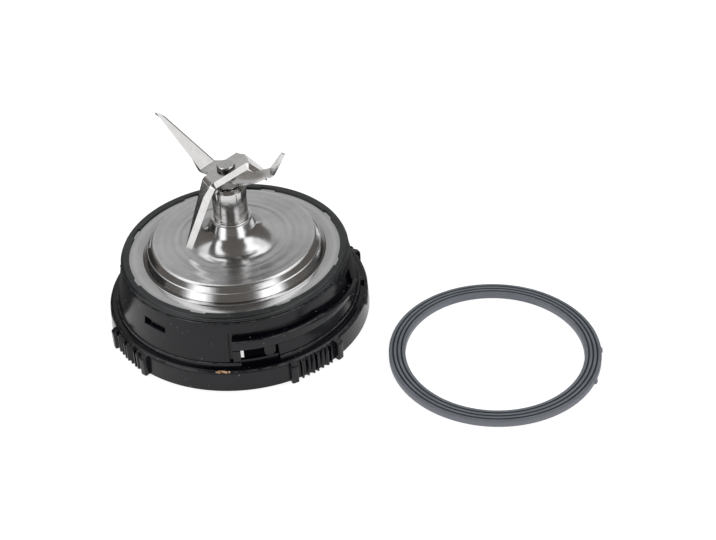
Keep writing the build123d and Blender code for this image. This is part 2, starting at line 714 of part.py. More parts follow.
class Fold:
    """Fold in a blade sheet: where the flat part ends, and the planes across the arm beyond the bend."""

    def __init__(self, corner, azimuth, bend, under_z):
        self.along = Vector(*polar(1, azimuth + 90), 0)
        self.out = Vector(*polar(1, azimuth), 0)
        self.up = Vector(0, 0, 1)
        self.bend = abs(bend)
        self.sign = 1 if bend > 0 else -1
        self.pivot_h = -BEND_R if bend > 0 else BLADE_T + BEND_R
        top_bend_r = BEND_R + BLADE_T if bend > 0 else BEND_R
        self.setback = top_bend_r * tan(radians(self.bend / 2))
        self.root = Vector(*corner, under_z) - self.out * self.setback

    def plan(self, offset_along):
        """Point in plan on the line where the flat sheet ends."""
        point = self.root + self.along * offset_along
        return point.X, point.Y

    def axis(self):
        """Axis that the sheet is bent about."""
        return Axis(self.root + self.up * self.pivot_h, self.along * self.sign)

    def plane(self, bent, distance):
        """Plane across the sheet, X along the fold and Y from the underside up, bent through degrees."""
        lean = radians(bent) * self.sign
        normal = self.up * cos(lean) + self.out * sin(lean)
        heading = self.out * cos(lean) - self.up * sin(lean)
        origin = self.root + (self.up - normal) * self.pivot_h + heading * distance
        return Plane(origin=origin, x_dir=self.along, z_dir=heading)


def sheet_section(rear, top_edge, under_edge):
    """Corner points of a section across an arm, its leading side ground on one face."""
    return (rear, 0), (under_edge, 0), (top_edge, BLADE_T), (rear, BLADE_T)


# Upper blade: flat hub with a ground front edge, a long arm bent down and a short ear
down_fold = Fold(*DOWN_FOLD, upper_under_z)
ear_fold = Fold(*EAR_FOLD, upper_under_z)
with BuildPart() as upper_blade:
    for height, edge in ((upper_under_z, 3), (blade_top_z, 2)):
        with BuildSketch(Plane.XY.offset(height)):
            with BuildLine():
                Polyline(
                    down_fold.plan(DOWN_ARM[0][1]),
                    down_fold.plan(DOWN_ARM[0][edge]),
                    ear_fold.plan(EAR_ARM[0][edge]),
                    ear_fold.plan(EAR_ARM[0][1]),
                    *UPPER_BACK,
                    close=True,
                )
            make_face()
    loft(ruled=True)
    for fold, arm in ((down_fold, DOWN_ARM), (ear_fold, EAR_ARM)):
        with BuildSketch(fold.plane(0, 0)):
            with BuildLine():
                Polyline(*sheet_section(*arm[0][1:]), close=True)
            make_face()
        revolve(axis=fold.axis(), revolution_arc=fold.bend)
        for distance, *edges in arm:
            with BuildSketch(fold.plane(fold.bend, max(distance - fold.setback, 0))):
                with BuildLine():
                    Polyline(*sheet_section(*edges), close=True)
                make_face()
        loft(ruled=True)
    with BuildSketch(Plane.XY.offset(upper_under_z)):
        Circle(TANG_R + TANG_FIT)
        Rectangle(2 * HEAD_R, TANG_FLATS + 2 * TANG_FIT, mode=Mode.INTERSECT)
    extrude(amount=BLADE_T, mode=Mode.SUBTRACT)
upper_blade.part.label = "upper_blade"
export_step(upper_blade.part, "parts/upper_blade.step")

# Lower blade: lies under the upper one, with a long arm bent up and a short flick at the other end
up_fold = Fold(*UP_FOLD, blade_under_z)
flick_fold = Fold(*FLICK_FOLD, blade_under_z)
with BuildPart() as lower_blade:
    for height, edge, grind in ((blade_under_z, 3, LOWER_GRIND), (upper_under_z, 2, 0)):
        with BuildSketch(Plane.XY.offset(height)):
            with BuildLine():
                Polyline(
                    up_fold.plan(UP_ARM[0][edge]),
                    *[(x, y + grind) for x, y in LOWER_FRONT],
                    flick_fold.plan(FLICK_ARM[0][edge]),
                    flick_fold.plan(FLICK_ARM[0][1]),
                    *LOWER_BACK,
                    up_fold.plan(UP_ARM[0][1]),
                    close=True,
                )
            make_face()
    loft(ruled=True)
    for fold, arm in ((up_fold, UP_ARM), (flick_fold, FLICK_ARM)):
        with BuildSketch(fold.plane(0, 0)):
            with BuildLine():
                Polyline(*sheet_section(*arm[0][1:]), close=True)
            make_face()
        revolve(axis=fold.axis(), revolution_arc=fold.bend)
        for distance, *edges in arm:
            with BuildSketch(fold.plane(fold.bend, max(distance - fold.setback, 0))):
                with BuildLine():
                    Polyline(*sheet_section(*edges), close=True)
                make_face()
        loft(ruled=True)
    with BuildSketch(Plane.XY.offset(blade_under_z)):
        Circle(TANG_R + TANG_FIT)
        Rectangle(2 * HEAD_R, TANG_FLATS + 2 * TANG_FIT, mode=Mode.INTERSECT)
    extrude(amount=BLADE_T, mode=Mode.SUBTRACT)
lower_blade.part.label = "lower_blade"
export_step(lower_blade.part, "parts/lower_blade.step")

# Clip and washer that keep the shaft from lifting out of the housing
with BuildPart() as retaining_clip:
    with BuildSketch(Plane.XY.offset(CLIP_Z)):
        Circle(CLIP_R)
        Circle(CLIP_GROOVE_R + PRESS_FIT, mode=Mode.SUBTRACT)
        Rectangle(CLIP_R, CLIP_MOUTH, align=(Align.MIN, Align.CENTER), mode=Mode.SUBTRACT)
    extrude(amount=CLIP_T)
retaining_clip.part.label = "retaining_clip"
export_step(retaining_clip.part, "parts/retaining_clip.step")

with BuildPart() as thrust_washer:
    with BuildSketch(Plane.XY.offset(clip_top_z)):
        Circle(HOUSING_THREAD_R)
        Circle(SHAFT_R + THREAD_FIT, mode=Mode.SUBTRACT)
    extrude(amount=HOUSING_BOTTOM_Z - THRUST_GAP - clip_top_z)
thrust_washer.part.label = "thrust_washer"
export_step(thrust_washer.part, "parts/thrust_washer.step")

# Drive coupling: moulded disc with dogs, on a metal insert that sits on the shaft's flats
disc_under_z = COUPLING_TOP_Z - COUPLING_DISC_T
with BuildPart() as drive_coupling:
    with BuildSketch(Plane.XY.offset(disc_under_z)):
        Circle(COUPLING_R)
    extrude(amount=COUPLING_DISC_T)
    with BuildSketch(Plane.XY.offset(INSERT_BOTTOM_Z)):
        Circle(COUPLING_HUB_R)
    extrude(amount=disc_under_z - INSERT_BOTTOM_Z)
    for dog in range(DOG_COUNT):
        with BuildSketch(half_plane(dog * 360.0 / DOG_COUNT - DOG_SPAN / 2)):
            with Locations((DOG_INNER_R, DOG_BOTTOM_Z)):
                Rectangle(COUPLING_R - DOG_INNER_R, disc_under_z - DOG_BOTTOM_Z, align=Align.MIN)
        revolve(axis=Axis.Z, revolution_arc=DOG_SPAN)
    with Locations((0, 0, INSERT_BOTTOM_Z)):
        Cylinder(INSERT_R + PRESS_FIT, COUPLING_TOP_Z, align=bottom_centre, mode=Mode.SUBTRACT)
drive_coupling.part.label = "drive_coupling"
export_step(drive_coupling.part, "parts/drive_coupling.step")

with BuildPart() as coupling_insert:
    with BuildSketch(Plane.XY.offset(INSERT_BOTTOM_Z)):
        Circle(INSERT_R)
        Circle(STUD_R + THREAD_FIT, mode=Mode.SUBTRACT)
    extrude(amount=COUPLING_TOP_Z - INSERT_BOTTOM_Z)
    with BuildSketch(Plane.XY.offset(drive_flats_z)):
        Circle(DRIVE_R + PRESS_FIT)
        Rectangle(3 * DRIVE_R, DRIVE_FLATS + 2 * PRESS_FIT, mode=Mode.INTERSECT)
    extrude(amount=COUPLING_TOP_Z - drive_flats_z, mode=Mode.SUBTRACT)
coupling_insert.part.label = "coupling_insert"
export_step(coupling_insert.part, "parts/coupling_insert.step")

# Washer and nut on the shaft's stud, inside the ring of dogs
coupling_washer_z = INSERT_BOTTOM_Z - COUPLING_WASHER_T
with BuildPart() as coupling_washer:
    with BuildSketch(Plane.XY.offset(coupling_washer_z)):
        Circle(INSERT_R)
        Circle(STUD_R + THREAD_FIT, mode=Mode.SUBTRACT)
    extrude(amount=COUPLING_WASHER_T)
coupling_washer.part.label = "coupling_washer"
export_step(coupling_washer.part, "parts/coupling_washer.step")

with BuildPart() as coupling_nut:
    with BuildSketch(Plane.XY.offset(coupling_washer_z - COUPLING_NUT_H)):
        RegularPolygon(COUPLING_NUT_AF / 2, 6, major_radius=False)
        Circle(STUD_R + THREAD_FIT, mode=Mode.SUBTRACT)
    extrude(amount=COUPLING_NUT_H)
coupling_nut.part.label = "coupling_nut"
export_step(coupling_nut.part, "parts/coupling_nut.step")

# Jug seal: flat rubber ring with concentric grooves, and two nubs of flash on its edge
groove_pitch = SEAL_BAND / (GROOVE_COUNT + 1)
seal_plane = Plane((SEAL_X, SEAL_Y, 0))
with BuildPart() as jug_seal:
    with BuildSketch(seal_plane):
        Circle(SEAL_OUTER_R)
        Circle(seal_inner_r, mode=Mode.SUBTRACT)
    extrude(amount=SEAL_THICK)
    fillet(jug_seal.faces().sort_by(Axis.Z)[-1].edges(), SEAL_ROUND)
    for groove in range(GROOVE_COUNT):
        groove_r = seal_inner_r + (groove + 1) * groove_pitch
        with BuildSketch(seal_plane.offset(SEAL_THICK)):
            Circle(groove_r + GROOVE_W / 2)
            Circle(groove_r - GROOVE_W / 2, mode=Mode.SUBTRACT)
        extrude(amount=-GROOVE_DEPTH, mode=Mode.SUBTRACT)
    for flash_az in FLASH_AZ:
        nub_x, nub_y = polar(SEAL_OUTER_R + FLASH_OUT, flash_az)
        with Locations(Location((SEAL_X + nub_x, SEAL_Y + nub_y, 0), (0, 0, flash_az))):
            Box(2 * FLASH_OUT, FLASH_W, FLASH_H, align=(Align.MAX, Align.CENTER, Align.MIN))
jug_seal.part.label = "jug_seal"
export_step(jug_seal.part, "parts/jug_seal.step")
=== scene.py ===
"""Looks of a blender blade unit and its loose jug seal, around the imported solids.

Lengths are written in millimetres and turned into metres where a mesh is made. The unit's spin axis is Z.
"""

from math import cos, pi, radians, sin

import bmesh
import bpy
import numpy as np
from mathutils import Matrix, Vector


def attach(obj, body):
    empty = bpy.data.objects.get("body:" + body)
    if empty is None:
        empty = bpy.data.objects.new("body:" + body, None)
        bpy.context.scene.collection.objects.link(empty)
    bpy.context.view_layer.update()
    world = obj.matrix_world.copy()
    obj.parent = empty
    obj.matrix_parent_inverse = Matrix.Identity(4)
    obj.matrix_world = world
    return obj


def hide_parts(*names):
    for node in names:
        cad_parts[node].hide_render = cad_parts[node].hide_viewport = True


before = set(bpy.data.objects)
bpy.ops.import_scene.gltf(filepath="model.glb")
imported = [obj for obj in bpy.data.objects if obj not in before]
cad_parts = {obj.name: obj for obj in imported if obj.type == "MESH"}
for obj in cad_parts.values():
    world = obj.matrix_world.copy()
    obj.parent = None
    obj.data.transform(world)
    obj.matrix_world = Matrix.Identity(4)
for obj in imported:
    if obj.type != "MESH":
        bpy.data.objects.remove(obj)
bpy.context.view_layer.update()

MM = 0.001

# Camera, fitted to the circles of the unit in the photograph's frame of 716 by 540
IMAGE_W = 716
FOCAL_PX = 1460.2
SENSOR_W = 36.0
VIEW_ELEVATION = 37.384
VIEW_ROLL = -2.695
VIEW_DISTANCE = 607.785
VIEW_TARGET = (50.291, -2.263, 17.402)
CLIP_NEAR = 0.01
CLIP_FAR = 50.0

# Grip collar, in millimetres and degrees about the spin axis
COLLAR_FOOT_R = 54.6
COLLAR_TOP_R = 54.0
GRIP_RING_H = 9.6
GRIP_RING_ROUND = 1.3
GRIP_RING_IN_R = 51.5
FLANGE_UNDER_Z = 7.2
PLINTH_R = 51.2
PLINTH_TOP_R = 51.0
PLINTH_Z = 11.5
CONE_FOOT_R = 50.3
NECK_R = 47.0
COLLAR_H = 28.5
CONE_WALL = 2.5
SEAT_R = 46.3
SEAT_Z = 27.4
BAYONET_AZ = -90.1
BAYONET_TURN = 180.0
LEDGE_SPAN = 81.1
LEDGE_R = 50.6
LEDGE_TOP_Z = 21.7
LEDGE_Z = 17.1
RAMP_START = 45.0
RAMP_END_H = 0.4
BAR_SPAN = 3.4
BAR_GROOVE_SPAN = 1.7
CHANNEL_SPAN = 77.1
CHANNEL_DEPTH = 1.4
CHANNEL_TOP_Z = 25.0
CHANNEL_CORNER = 1.3
WINDOW_SPAN = 17.6
SILL_R = 49.3
SILL_INSET = (0.5, 0.55)  # of the sill's first two rows behind its edge
POCKET_OFFSET = 1.3
POCKET_SPAN = 20.5
POCKET_R = 43.9
POCKET_WALL = 1.5
TONGUE_AZ = 16.8
TONGUE_W = 4.8
TONGUE_DROP = 5.0
TONGUE_R = 50.0
TONGUE_T = 1.5
TONGUE_ROOT = 0.6
TONGUE_ROUND = 0.15
TONGUE_INSET = 0.12
DETENT_AZ = -130.2
DETENT_SPAN = 13.4
DETENT_TOP_Z = 23.0
DETENT_FLOOR_Z = 20.2
DETENT_FOOT_Z = 19.7
DETENT_DEPTH = 1.8
SLOT_AZ = -1.2
SLOT_HALF = 2.2
SLOT_DEPTH = 1.6
GRIP_AZ = -53.5
GRIP_TURN = 90.0
LUG_OFFSET = 11.6
LUG_R = 56.5
LUG_HALF = 1.6
LUG_H = 9.0
RIB_COUNT = 7
RIB_PITCH = 2.45
RIB_R = 55.5
RIB_HALF = 0.84
EDGE = 0.07  # degrees over which a moulded step rises
FOOT_EASE = 0.25
LUG_FLANK = 0.1
LUG_ROUND = 0.7
LUG_SHOULDER = 0.72  # share of a lug's height at which its round begins
GRIP_FADE = 1.2  # height in which ribs and lugs die away under a lug's top
RAMP_RETURN = 6.0  # degrees in which the rows rise again past the ramp's end
ROW_EASE = 0.02

# Columns round the collar, and rows up its section
COLLAR_COLUMNS = 240
LUG_COLUMNS = (0, 0.5, 0.62, 0.74, 0.86, 0.94, 1.0)
RING_ROWS = (0.0, 0.3, 2.0, 4.0, 6.0, 7.4, 7.9, 8.3)
SLOT_ROWS = ((52.67, 0), (52.6, 1), (51.42, 1), (51.35, 0))  # radius, and whether the row dips in the slot
SILL_ROW_TOP = 12.0
WALL_ROWS = (12.6, 13.6, 14.6, 15.6, 16.6)
LEDGE_ROWS = (  # height of the full ledge, and how far the row lies in from its face
    (17.15, 0.2), (17.3, 0.05), (17.6, 0), (18.6, 0), (DETENT_FOOT_Z, 0), (DETENT_FLOOR_Z, 0), (21.2, 0),
    (21.45, 0.08), (21.62, 0.25), (LEDGE_TOP_Z, 0.5),
)
CHANNEL_ROWS = (0.02, 0.1, 0.25, 0.379, 0.41, 0.6, 0.8, 0.97)  # shares of the way from ledge to roof
NECK_ROWS = (CHANNEL_TOP_Z + 0.2, 26.0, 27.0, 28.0)
INNER_ROW = 20.0
BRACE = 0.05

# Gaps in metres that are closed when a mesh is made
SEAM_GAP = 1e-7
SLIVER = 1e-8
COPY_GAP = 1e-6

# Angles in degrees above which an edge shades sharp
SHARP_MOULDED = 38.0
SHARP_PRESSED = 60.0
SHARP_SEAL = 50.0
SHARP_COPY = 32.0


def cone_r(z):
    """Outside radius of the collar's cone wall: a straight line in height."""
    return NECK_R + (COLLAR_H - z) * (CONE_FOOT_R - NECK_R) / (COLLAR_H - PLINTH_Z)


class Shape:
    """Vertices and faces gathered from whole-array grids, turned into one mesh at the end."""

    def __init__(self):
        self.points = []
        self.faces = []
        self.count = 0

    def put(self, points):
        """Add an array of points, of any shape by 3, and give back their numbers in that shape."""
        flat = np.asarray(points, float).reshape(-1, 3)
        numbers = np.arange(self.count, self.count + len(flat)).reshape(np.shape(points)[:-1])
        self.points.append(flat)
        self.count += len(flat)
        return numbers

    def strip(self, numbers, wrap_u=False, wrap_v=False, keep=None):
        """Join a grid of point numbers with quads; keep masks the quads that stay."""
        grid = np.asarray(numbers)
        if wrap_u:
            grid = np.concatenate([grid, grid[:1]], 0)
        if wrap_v:
            grid = np.concatenate([grid, grid[:, :1]], 1)
        quads = np.stack([grid[:-1, :-1], grid[1:, :-1], grid[1:, 1:], grid[:-1, 1:]], -1)
        self.faces.append(quads.reshape(-1, 4) if keep is None else quads[keep])

    def grid(self, points, wrap_u=False, wrap_v=False, keep=None):
        """Add a grid of points and join it with quads."""
        numbers = self.put(points)
        self.strip(numbers, wrap_u, wrap_v, keep)
        return numbers

    def bar(self, points):
        """Add a run of closed sections and close both of its ends with one flat face."""
        numbers = self.grid(points, wrap_v=True)
        self.faces.append(numbers[:1])
        self.faces.append(numbers[-1:, ::-1])

    def mesh(self, name, sharp):
        """Make the object, merge its seams, turn its faces outwards and mark its sharp edges."""
        data = bpy.data.meshes.new(name)
        faces = [face for block in self.faces for face in block.tolist()]
        data.from_pydata(np.concatenate(self.points) * MM, [], faces)
        work = bmesh.new()
        work.from_mesh(data)
        bmesh.ops.remove_doubles(work, verts=work.verts, dist=SEAM_GAP)
        bmesh.ops.dissolve_degenerate(work, edges=work.edges, dist=SLIVER)
        bmesh.ops.recalc_face_normals(work, faces=work.faces)
        work.to_mesh(data)
        work.free()
        return placed(name, data, sharp)


def placed(name, data, sharp):
    """Object of a mesh that shades smooth up to its sharp edges, in the scene."""
    data.polygons.foreach_set("use_smooth", np.ones(len(data.polygons), bool))
    data.set_sharp_from_angle(angle=radians(sharp))
    piece = bpy.data.objects.new(name, data)
    bpy.context.scene.collection.objects.link(piece)
    return piece


def surface(name, points, wrap_u=False, wrap_v=False, sharp=SHARP_MOULDED):
    """One mesh from one grid of points."""
    shape = Shape()
    shape.grid(points, wrap_u, wrap_v)
    return shape.mesh(name, sharp)


def about_axis(r, z, azimuths, centre=(0, 0)):
    """Points at radius r, height z and an azimuth in degrees about an upright axis through the centre."""
    angle = np.radians(azimuths)
    x = centre[0] + r * np.cos(angle)
    y = centre[1] + r * np.sin(angle)
    return np.stack(np.broadcast_arrays(x, y, z), -1)


def turned_points(profile, azimuths):
    """Points of a turned surface: each (r, z) of the profile carried round Z through the azimuths."""
    r, z = np.asarray(profile, float).T
    return about_axis(r, z, azimuths[:, None])


def rounded(corners, steps):
    """Polyline of (x, y, radius) corners, each replaced by an arc of its radius between its tangents."""
    corners = np.asarray(corners, float)
    line = []
    for k, (x, y, radius) in enumerate(corners):
        here = np.array((x, y))
        before = corners[k - 1, :2] - here
        after = corners[(k + 1) % len(corners), :2] - here
        open_end = k in (0, len(corners) - 1)
        if radius <= 0 or open_end:
            line.append(here[None])
            continue
        a = before / np.linalg.norm(before)
        b = after / np.linalg.norm(after)
        half = np.arccos(np.clip(a @ b, -1, 1)) / 2
        middle = here + (a + b) / np.linalg.norm(a + b) * radius / np.sin(half)
        start = here + a * radius / np.tan(half) - middle
        end = here + b * radius / np.tan(half) - middle
        sweep = np.linspace(0, 1, steps)[:, None]
        blend = start * (1 - sweep) + end * sweep
        line.append(middle + radius * blend / np.linalg.norm(blend, axis=1)[:, None])
    return braced(np.concatenate(line))


def braced(line):
    """The same polyline with a point close to both ends of each long run, so that it shades flat."""
    run = np.diff(line, axis=0)
    length = np.linalg.norm(run, axis=1)
    step = run / length[:, None] * BRACE
    points = np.stack([line[:-1], line[:-1] + step, line[1:] - step], 1)
    long = length > 6 * BRACE
    kept = np.stack([np.ones_like(long), long, long], 1)
    return np.concatenate([points[kept], line[-1:]])


def full_turn(count):
    """Evenly spaced azimuths of a whole turn, in degrees, without the last one that closes it."""
    return np.linspace(0, 360, count, endpoint=False)


def within(offset, start, end):
    """One inside a span of degrees, nought outside, rising in a straight line over EDGE."""
    return np.clip((offset - start) / EDGE + 1, 0, 1) * np.clip((end - offset) / EDGE + 1, 0, 1)


def from_edge(azimuths, start, turn):
    """Degrees past the start of a feature that repeats every turn, counted from minus a quarter of a turn."""
    return (azimuths - start + turn / 4) % turn - turn / 4


def from_middle(azimuths, middle, turn=360.0):
    """Degrees from the middle of a feature that repeats every turn, counted from minus half a turn."""
    return (azimuths - middle + turn / 2) % turn - turn / 2


def grip_height(azimuths):
    """Shares of their full height of the grip ring's ribs and lugs: flat ribs, and lugs with round sides."""
    offset = from_middle(azimuths, GRIP_AZ, GRIP_TURN)
    rib = np.zeros_like(offset)
    for k in range(RIB_COUNT):
        middle = (k - (RIB_COUNT - 1) / 2) * RIB_PITCH
        rib = np.maximum(rib, within(np.abs(offset - middle), -1, RIB_HALF - EDGE))
    inside = LUG_HALF - np.abs(np.abs(offset) - LUG_OFFSET)
    flank = np.clip(inside / LUG_FLANK, 0, 1)
    arc = np.sqrt(1 - (1 - np.clip(inside / LUG_ROUND, 0, 1)) ** 2)
    return rib, flank * (LUG_SHOULDER + (1 - LUG_SHOULDER) * arc)


def collar_azimuths():
    """Columns of the collar: an even round, and three close together at each edge of a feature."""
    columns = [full_turn(COLLAR_COLUMNS)]
    step = np.array((-EDGE, 0, EDGE))
    for turn in (0, BAYONET_TURN):
        left = BAYONET_AZ + turn
        columns.append(left + np.linspace(-BAR_GROOVE_SPAN, CHANNEL_CORNER, 9))
        for edge in (-BAR_GROOVE_SPAN, 0, BAR_SPAN, BAR_SPAN + WINDOW_SPAN, CHANNEL_SPAN, LEDGE_SPAN):
            columns.append(left + edge + step)
        for edge in (-DETENT_SPAN / 2, DETENT_SPAN / 2):
            columns.append(DETENT_AZ + turn + edge + step)
    for edge in (-SLOT_HALF, SLOT_HALF):
        columns.append(SLOT_AZ + edge + step)
    flank = np.array((-RIB_HALF - EDGE, -RIB_HALF, 0, RIB_HALF, RIB_HALF + EDGE))
    half = LUG_HALF * np.array(LUG_COLUMNS)
    for middle in GRIP_AZ + np.arange(0, 360, GRIP_TURN):
        for k in range(RIB_COUNT):
            columns.append(middle + (k - (RIB_COUNT - 1) / 2) * RIB_PITCH + flank)
        for lug in (middle - LUG_OFFSET, middle + LUG_OFFSET):
            columns.append(np.concatenate([lug - half, lug + half]))
    return np.unique(np.round(np.concatenate(columns) % 360, 3))


def collar_shape():
    """Grip collar: one closed section of (r, z) rows, whose rows move in and out with the azimuth.

    Ribs and lugs push the ring's rows out, the bayonet's ledge, bar and channel and the detents move the cone
    wall's rows, and the windows leave out the quads between two rows on the wall's outside and inside.
    """
    az = collar_azimuths()
    past = from_edge(az, BAYONET_AZ, BAYONET_TURN)
    ledge = within(past, 0, LEDGE_SPAN)
    bar = within(past, 0, BAR_SPAN)
    groove = within(past, -BAR_GROOVE_SPAN, -EDGE)
    channel = within(past, -BAR_GROOVE_SPAN, CHANNEL_SPAN)
    window = within(past, BAR_SPAN + EDGE, BAR_SPAN + WINDOW_SPAN - EDGE)
    detent = within(from_edge(az, DETENT_AZ - DETENT_SPAN / 2, BAYONET_TURN), 0, DETENT_SPAN)
    slot = within(np.abs(from_middle(az, SLOT_AZ)), -1, SLOT_HALF)
    rib, lug = grip_height(az)
    rows = []

    def row(r, z):
        rows.append(np.stack(np.broadcast_arrays(r, z, az), -1)[..., :2])
        return len(rows) - 1

    def fade(z):
        return np.sqrt(np.clip((LUG_H - z) / GRIP_FADE, 0, 1))

    # Grip ring, from its foot up to the flange
    for z in RING_ROWS:
        base = COLLAR_FOOT_R + (COLLAR_TOP_R - COLLAR_FOOT_R) * z / GRIP_RING_H - FOOT_EASE * (z == 0)
        rise = np.maximum(rib * (RIB_R - base), lug * (LUG_R - base))
        row(base + rise * fade(z), z)
    for turn in np.linspace(0, pi / 2, 6):
        base = COLLAR_TOP_R - GRIP_RING_ROUND * (1 - cos(turn))
        z = GRIP_RING_H - GRIP_RING_ROUND * (1 - sin(turn))
        rise = np.maximum(rib * (RIB_R - COLLAR_TOP_R), lug * (LUG_R - COLLAR_TOP_R))
        row(base + rise * fade(z), z)
    for r, dip in SLOT_ROWS:
        row(r, GRIP_RING_H - dip * slot * SLOT_DEPTH)

    # Plinth, cut back under the windows
    for r, z in (
        (PLINTH_R + 0.03, GRIP_RING_H + 0.03),
        (PLINTH_R - 0.02, GRIP_RING_H + 0.3),
        (PLINTH_TOP_R + 0.03, PLINTH_Z - 0.3),
        (PLINTH_TOP_R - 0.08, PLINTH_Z - 0.08),
        (PLINTH_TOP_R - 0.3, PLINTH_Z),
    ):
        row(r - window * (PLINTH_R - SILL_R), z)

    # Cone wall below the ledge: the windows open between the first and the last of these rows
    def wall(z):
        low = cone_r(z) - groove * CHANNEL_DEPTH
        return low + bar * (LEDGE_R - low)

    row(np.where(window > 0, SILL_R - SILL_INSET[0], wall(PLINTH_Z)), PLINTH_Z + ROW_EASE)
    wall_z = (PLINTH_Z + 0.05, *WALL_ROWS, LEDGE_Z - 0.1)
    sill_r = SILL_R - SILL_INSET[1]
    outer = [row(np.where((window > 0) & (z < SILL_ROW_TOP), sill_r, wall(z)), z) for z in wall_z]

    # Ledge with its ramp, channel, and the plain wall between the bayonets
    fall = (past - RAMP_START) / (LEDGE_SPAN - RAMP_START)
    rise = (past - LEDGE_SPAN - 0.2) / RAMP_RETURN
    least = RAMP_END_H / (LEDGE_TOP_Z - LEDGE_Z)
    ramp = 1 - np.clip(fall, 0, 1) * (1 - least)
    ramp_back = least + np.clip(rise, 0, 1) * (1 - least)
    tall = np.where(past < LEDGE_SPAN + 0.1, ramp, ramp_back)

    def dent(z):
        slope = np.clip((z - DETENT_FOOT_Z) / (DETENT_FLOOR_Z - DETENT_FOOT_Z), 0, 1)
        return detent * DETENT_DEPTH * slope * (z < DETENT_TOP_Z)

    for level, inset in LEDGE_ROWS:
        z = LEDGE_Z + (level - LEDGE_Z) * tall
        plain = cone_r(z) - dent(z) - groove * CHANNEL_DEPTH
        row(plain + ledge * (LEDGE_R - inset - plain), z)
    foot = LEDGE_Z + (LEDGE_TOP_Z - LEDGE_Z) * tall
    corner = np.clip((past + BAR_GROOVE_SPAN) / (CHANNEL_CORNER + BAR_GROOVE_SPAN), 0, 1)
    roof = CHANNEL_TOP_Z - channel * CHANNEL_CORNER * (1 - np.sqrt(1 - (1 - corner) ** 2))
    for share in CHANNEL_ROWS:
        z = foot + (roof - foot) * share
        row(cone_r(z) - dent(z) - channel * CHANNEL_DEPTH, z)
    row(cone_r(roof), roof + ROW_EASE)
    for z in NECK_ROWS:
        row(cone_r(z), z)
    for r, z in (
        (NECK_R - 0.05, COLLAR_H - 0.15),
        (NECK_R - 0.2, COLLAR_H),
        (SEAT_R + 0.1, COLLAR_H),
        (SEAT_R, COLLAR_H - 0.1),
        (SEAT_R, SEAT_Z),
    ):
        row(r, z)

    # Inside, down to the foot again
    row(cone_r(SEAT_Z) - CONE_WALL, SEAT_Z)
    row(cone_r(INNER_ROW) - CONE_WALL, INNER_ROW)
    inner = [row(cone_r(z) - CONE_WALL, z) for z in wall_z[::-1]][::-1]
    row(cone_r(FLANGE_UNDER_Z) - CONE_WALL, FLANGE_UNDER_Z)
    row(GRIP_RING_IN_R, FLANGE_UNDER_Z)
    row(GRIP_RING_IN_R, 0.3)
    row(GRIP_RING_IN_R + FOOT_EASE, 0.0)

    section = np.stack(rows)
    points = about_axis(section[..., 0], section[..., 1], az)
    keep = np.ones((len(rows), len(az)), bool)
    middle_az = past + (np.roll(az, -1) - az) % 360 / 2
    hole = (middle_az > BAR_SPAN) & (middle_az < BAR_SPAN + WINDOW_SPAN)
    for first, last in ((outer[0], outer[-1]), (inner[-1], inner[0])):
        keep[first:last, hole] = False
    shape = Shape()
    numbers = shape.grid(points, wrap_u=True, wrap_v=True, keep=keep)

    # Jambs of the windows, between the wall's outside and its inside
    front = (az - BAYONET_AZ + 90) % 360 < 180
    for side in (front, ~front):
        columns = np.flatnonzero(hole & side)
        order = np.argsort(past[columns])
        run = np.append(columns[order], (columns[order][-1] + 1) % len(az))
        for level in (0, -1):
            shape.strip(np.stack([numbers[outer[level], run], numbers[inner[level], run]]))
        for column in (run[0], run[-1]):
            shape.strip(np.stack([numbers[outer, column], numbers[inner, column]]))
    return shape


def arc_bar(shape, profile, start, span, steps=24):
    """Closed (r, z) profile carried along an arc about Z, with flat ends."""
    shape.bar(turned_points(profile, np.linspace(start, start + span, steps)))


def tongue(shape, azimuth):
    """Latch tongue: a tab with a half-round end, its outline carried through its thickness."""
    half = TONGUE_W / 2
    arc = np.linspace(pi, 2 * pi, 13)
    across = np.concatenate([[-half], half * np.cos(arc), [half]])
    height = np.concatenate([[TONGUE_ROOT], half * np.sin(arc) + half - TONGUE_DROP, [TONGUE_ROOT]])
    back_r = TONGUE_R - TONGUE_T
    depth = np.array((back_r, back_r + TONGUE_ROUND, TONGUE_R - TONGUE_ROUND, TONGUE_R))
    inset = TONGUE_INSET * np.array((1, 0, 0, 1)) / half
    angle = radians(azimuth)
    out = np.array((cos(angle), sin(angle), 0))
    side = np.array((-sin(angle), cos(angle), 0))
    scaled = across[None] * (1 - inset[:, None])
    lifted = LEDGE_Z + height[None] + inset[:, None] * half
    upward = np.array((0, 0, 1))
    shape.bar(depth[:, None, None] * out + scaled[..., None] * side + lifted[..., None] * upward)


def make_collar():
    """The whole grip collar: its section, the pockets behind the windows and the latch tongues."""
    shape = collar_shape()
    for left in (BAYONET_AZ, BAYONET_AZ + BAYONET_TURN):
        roof_r = cone_r(LEDGE_TOP_Z) - CHANNEL_DEPTH
        back = [
            (POCKET_R, FLANGE_UNDER_Z),
            (POCKET_R + POCKET_WALL, FLANGE_UNDER_Z),
            (POCKET_R + POCKET_WALL, LEDGE_Z),
            (roof_r, LEDGE_Z),
            (roof_r, LEDGE_Z + POCKET_WALL),
            (POCKET_R, LEDGE_Z + POCKET_WALL),
        ]
        arc_bar(shape, back, left + BAR_SPAN + POCKET_OFFSET, POCKET_SPAN)
        side_r = cone_r(PLINTH_Z) - CONE_WALL / 2
        side_span = POCKET_OFFSET + POCKET_SPAN - WINDOW_SPAN
        side = [
            (POCKET_R, FLANGE_UNDER_Z),
            (side_r, FLANGE_UNDER_Z),
            (side_r, LEDGE_Z),
            (POCKET_R, LEDGE_Z),
        ]
        arc_bar(shape, side, left + BAR_SPAN + WINDOW_SPAN, side_span, steps=4)
        tongue(shape, left + TONGUE_AZ)
    return shape.mesh("grip_collar_moulding", SHARP_MOULDED)


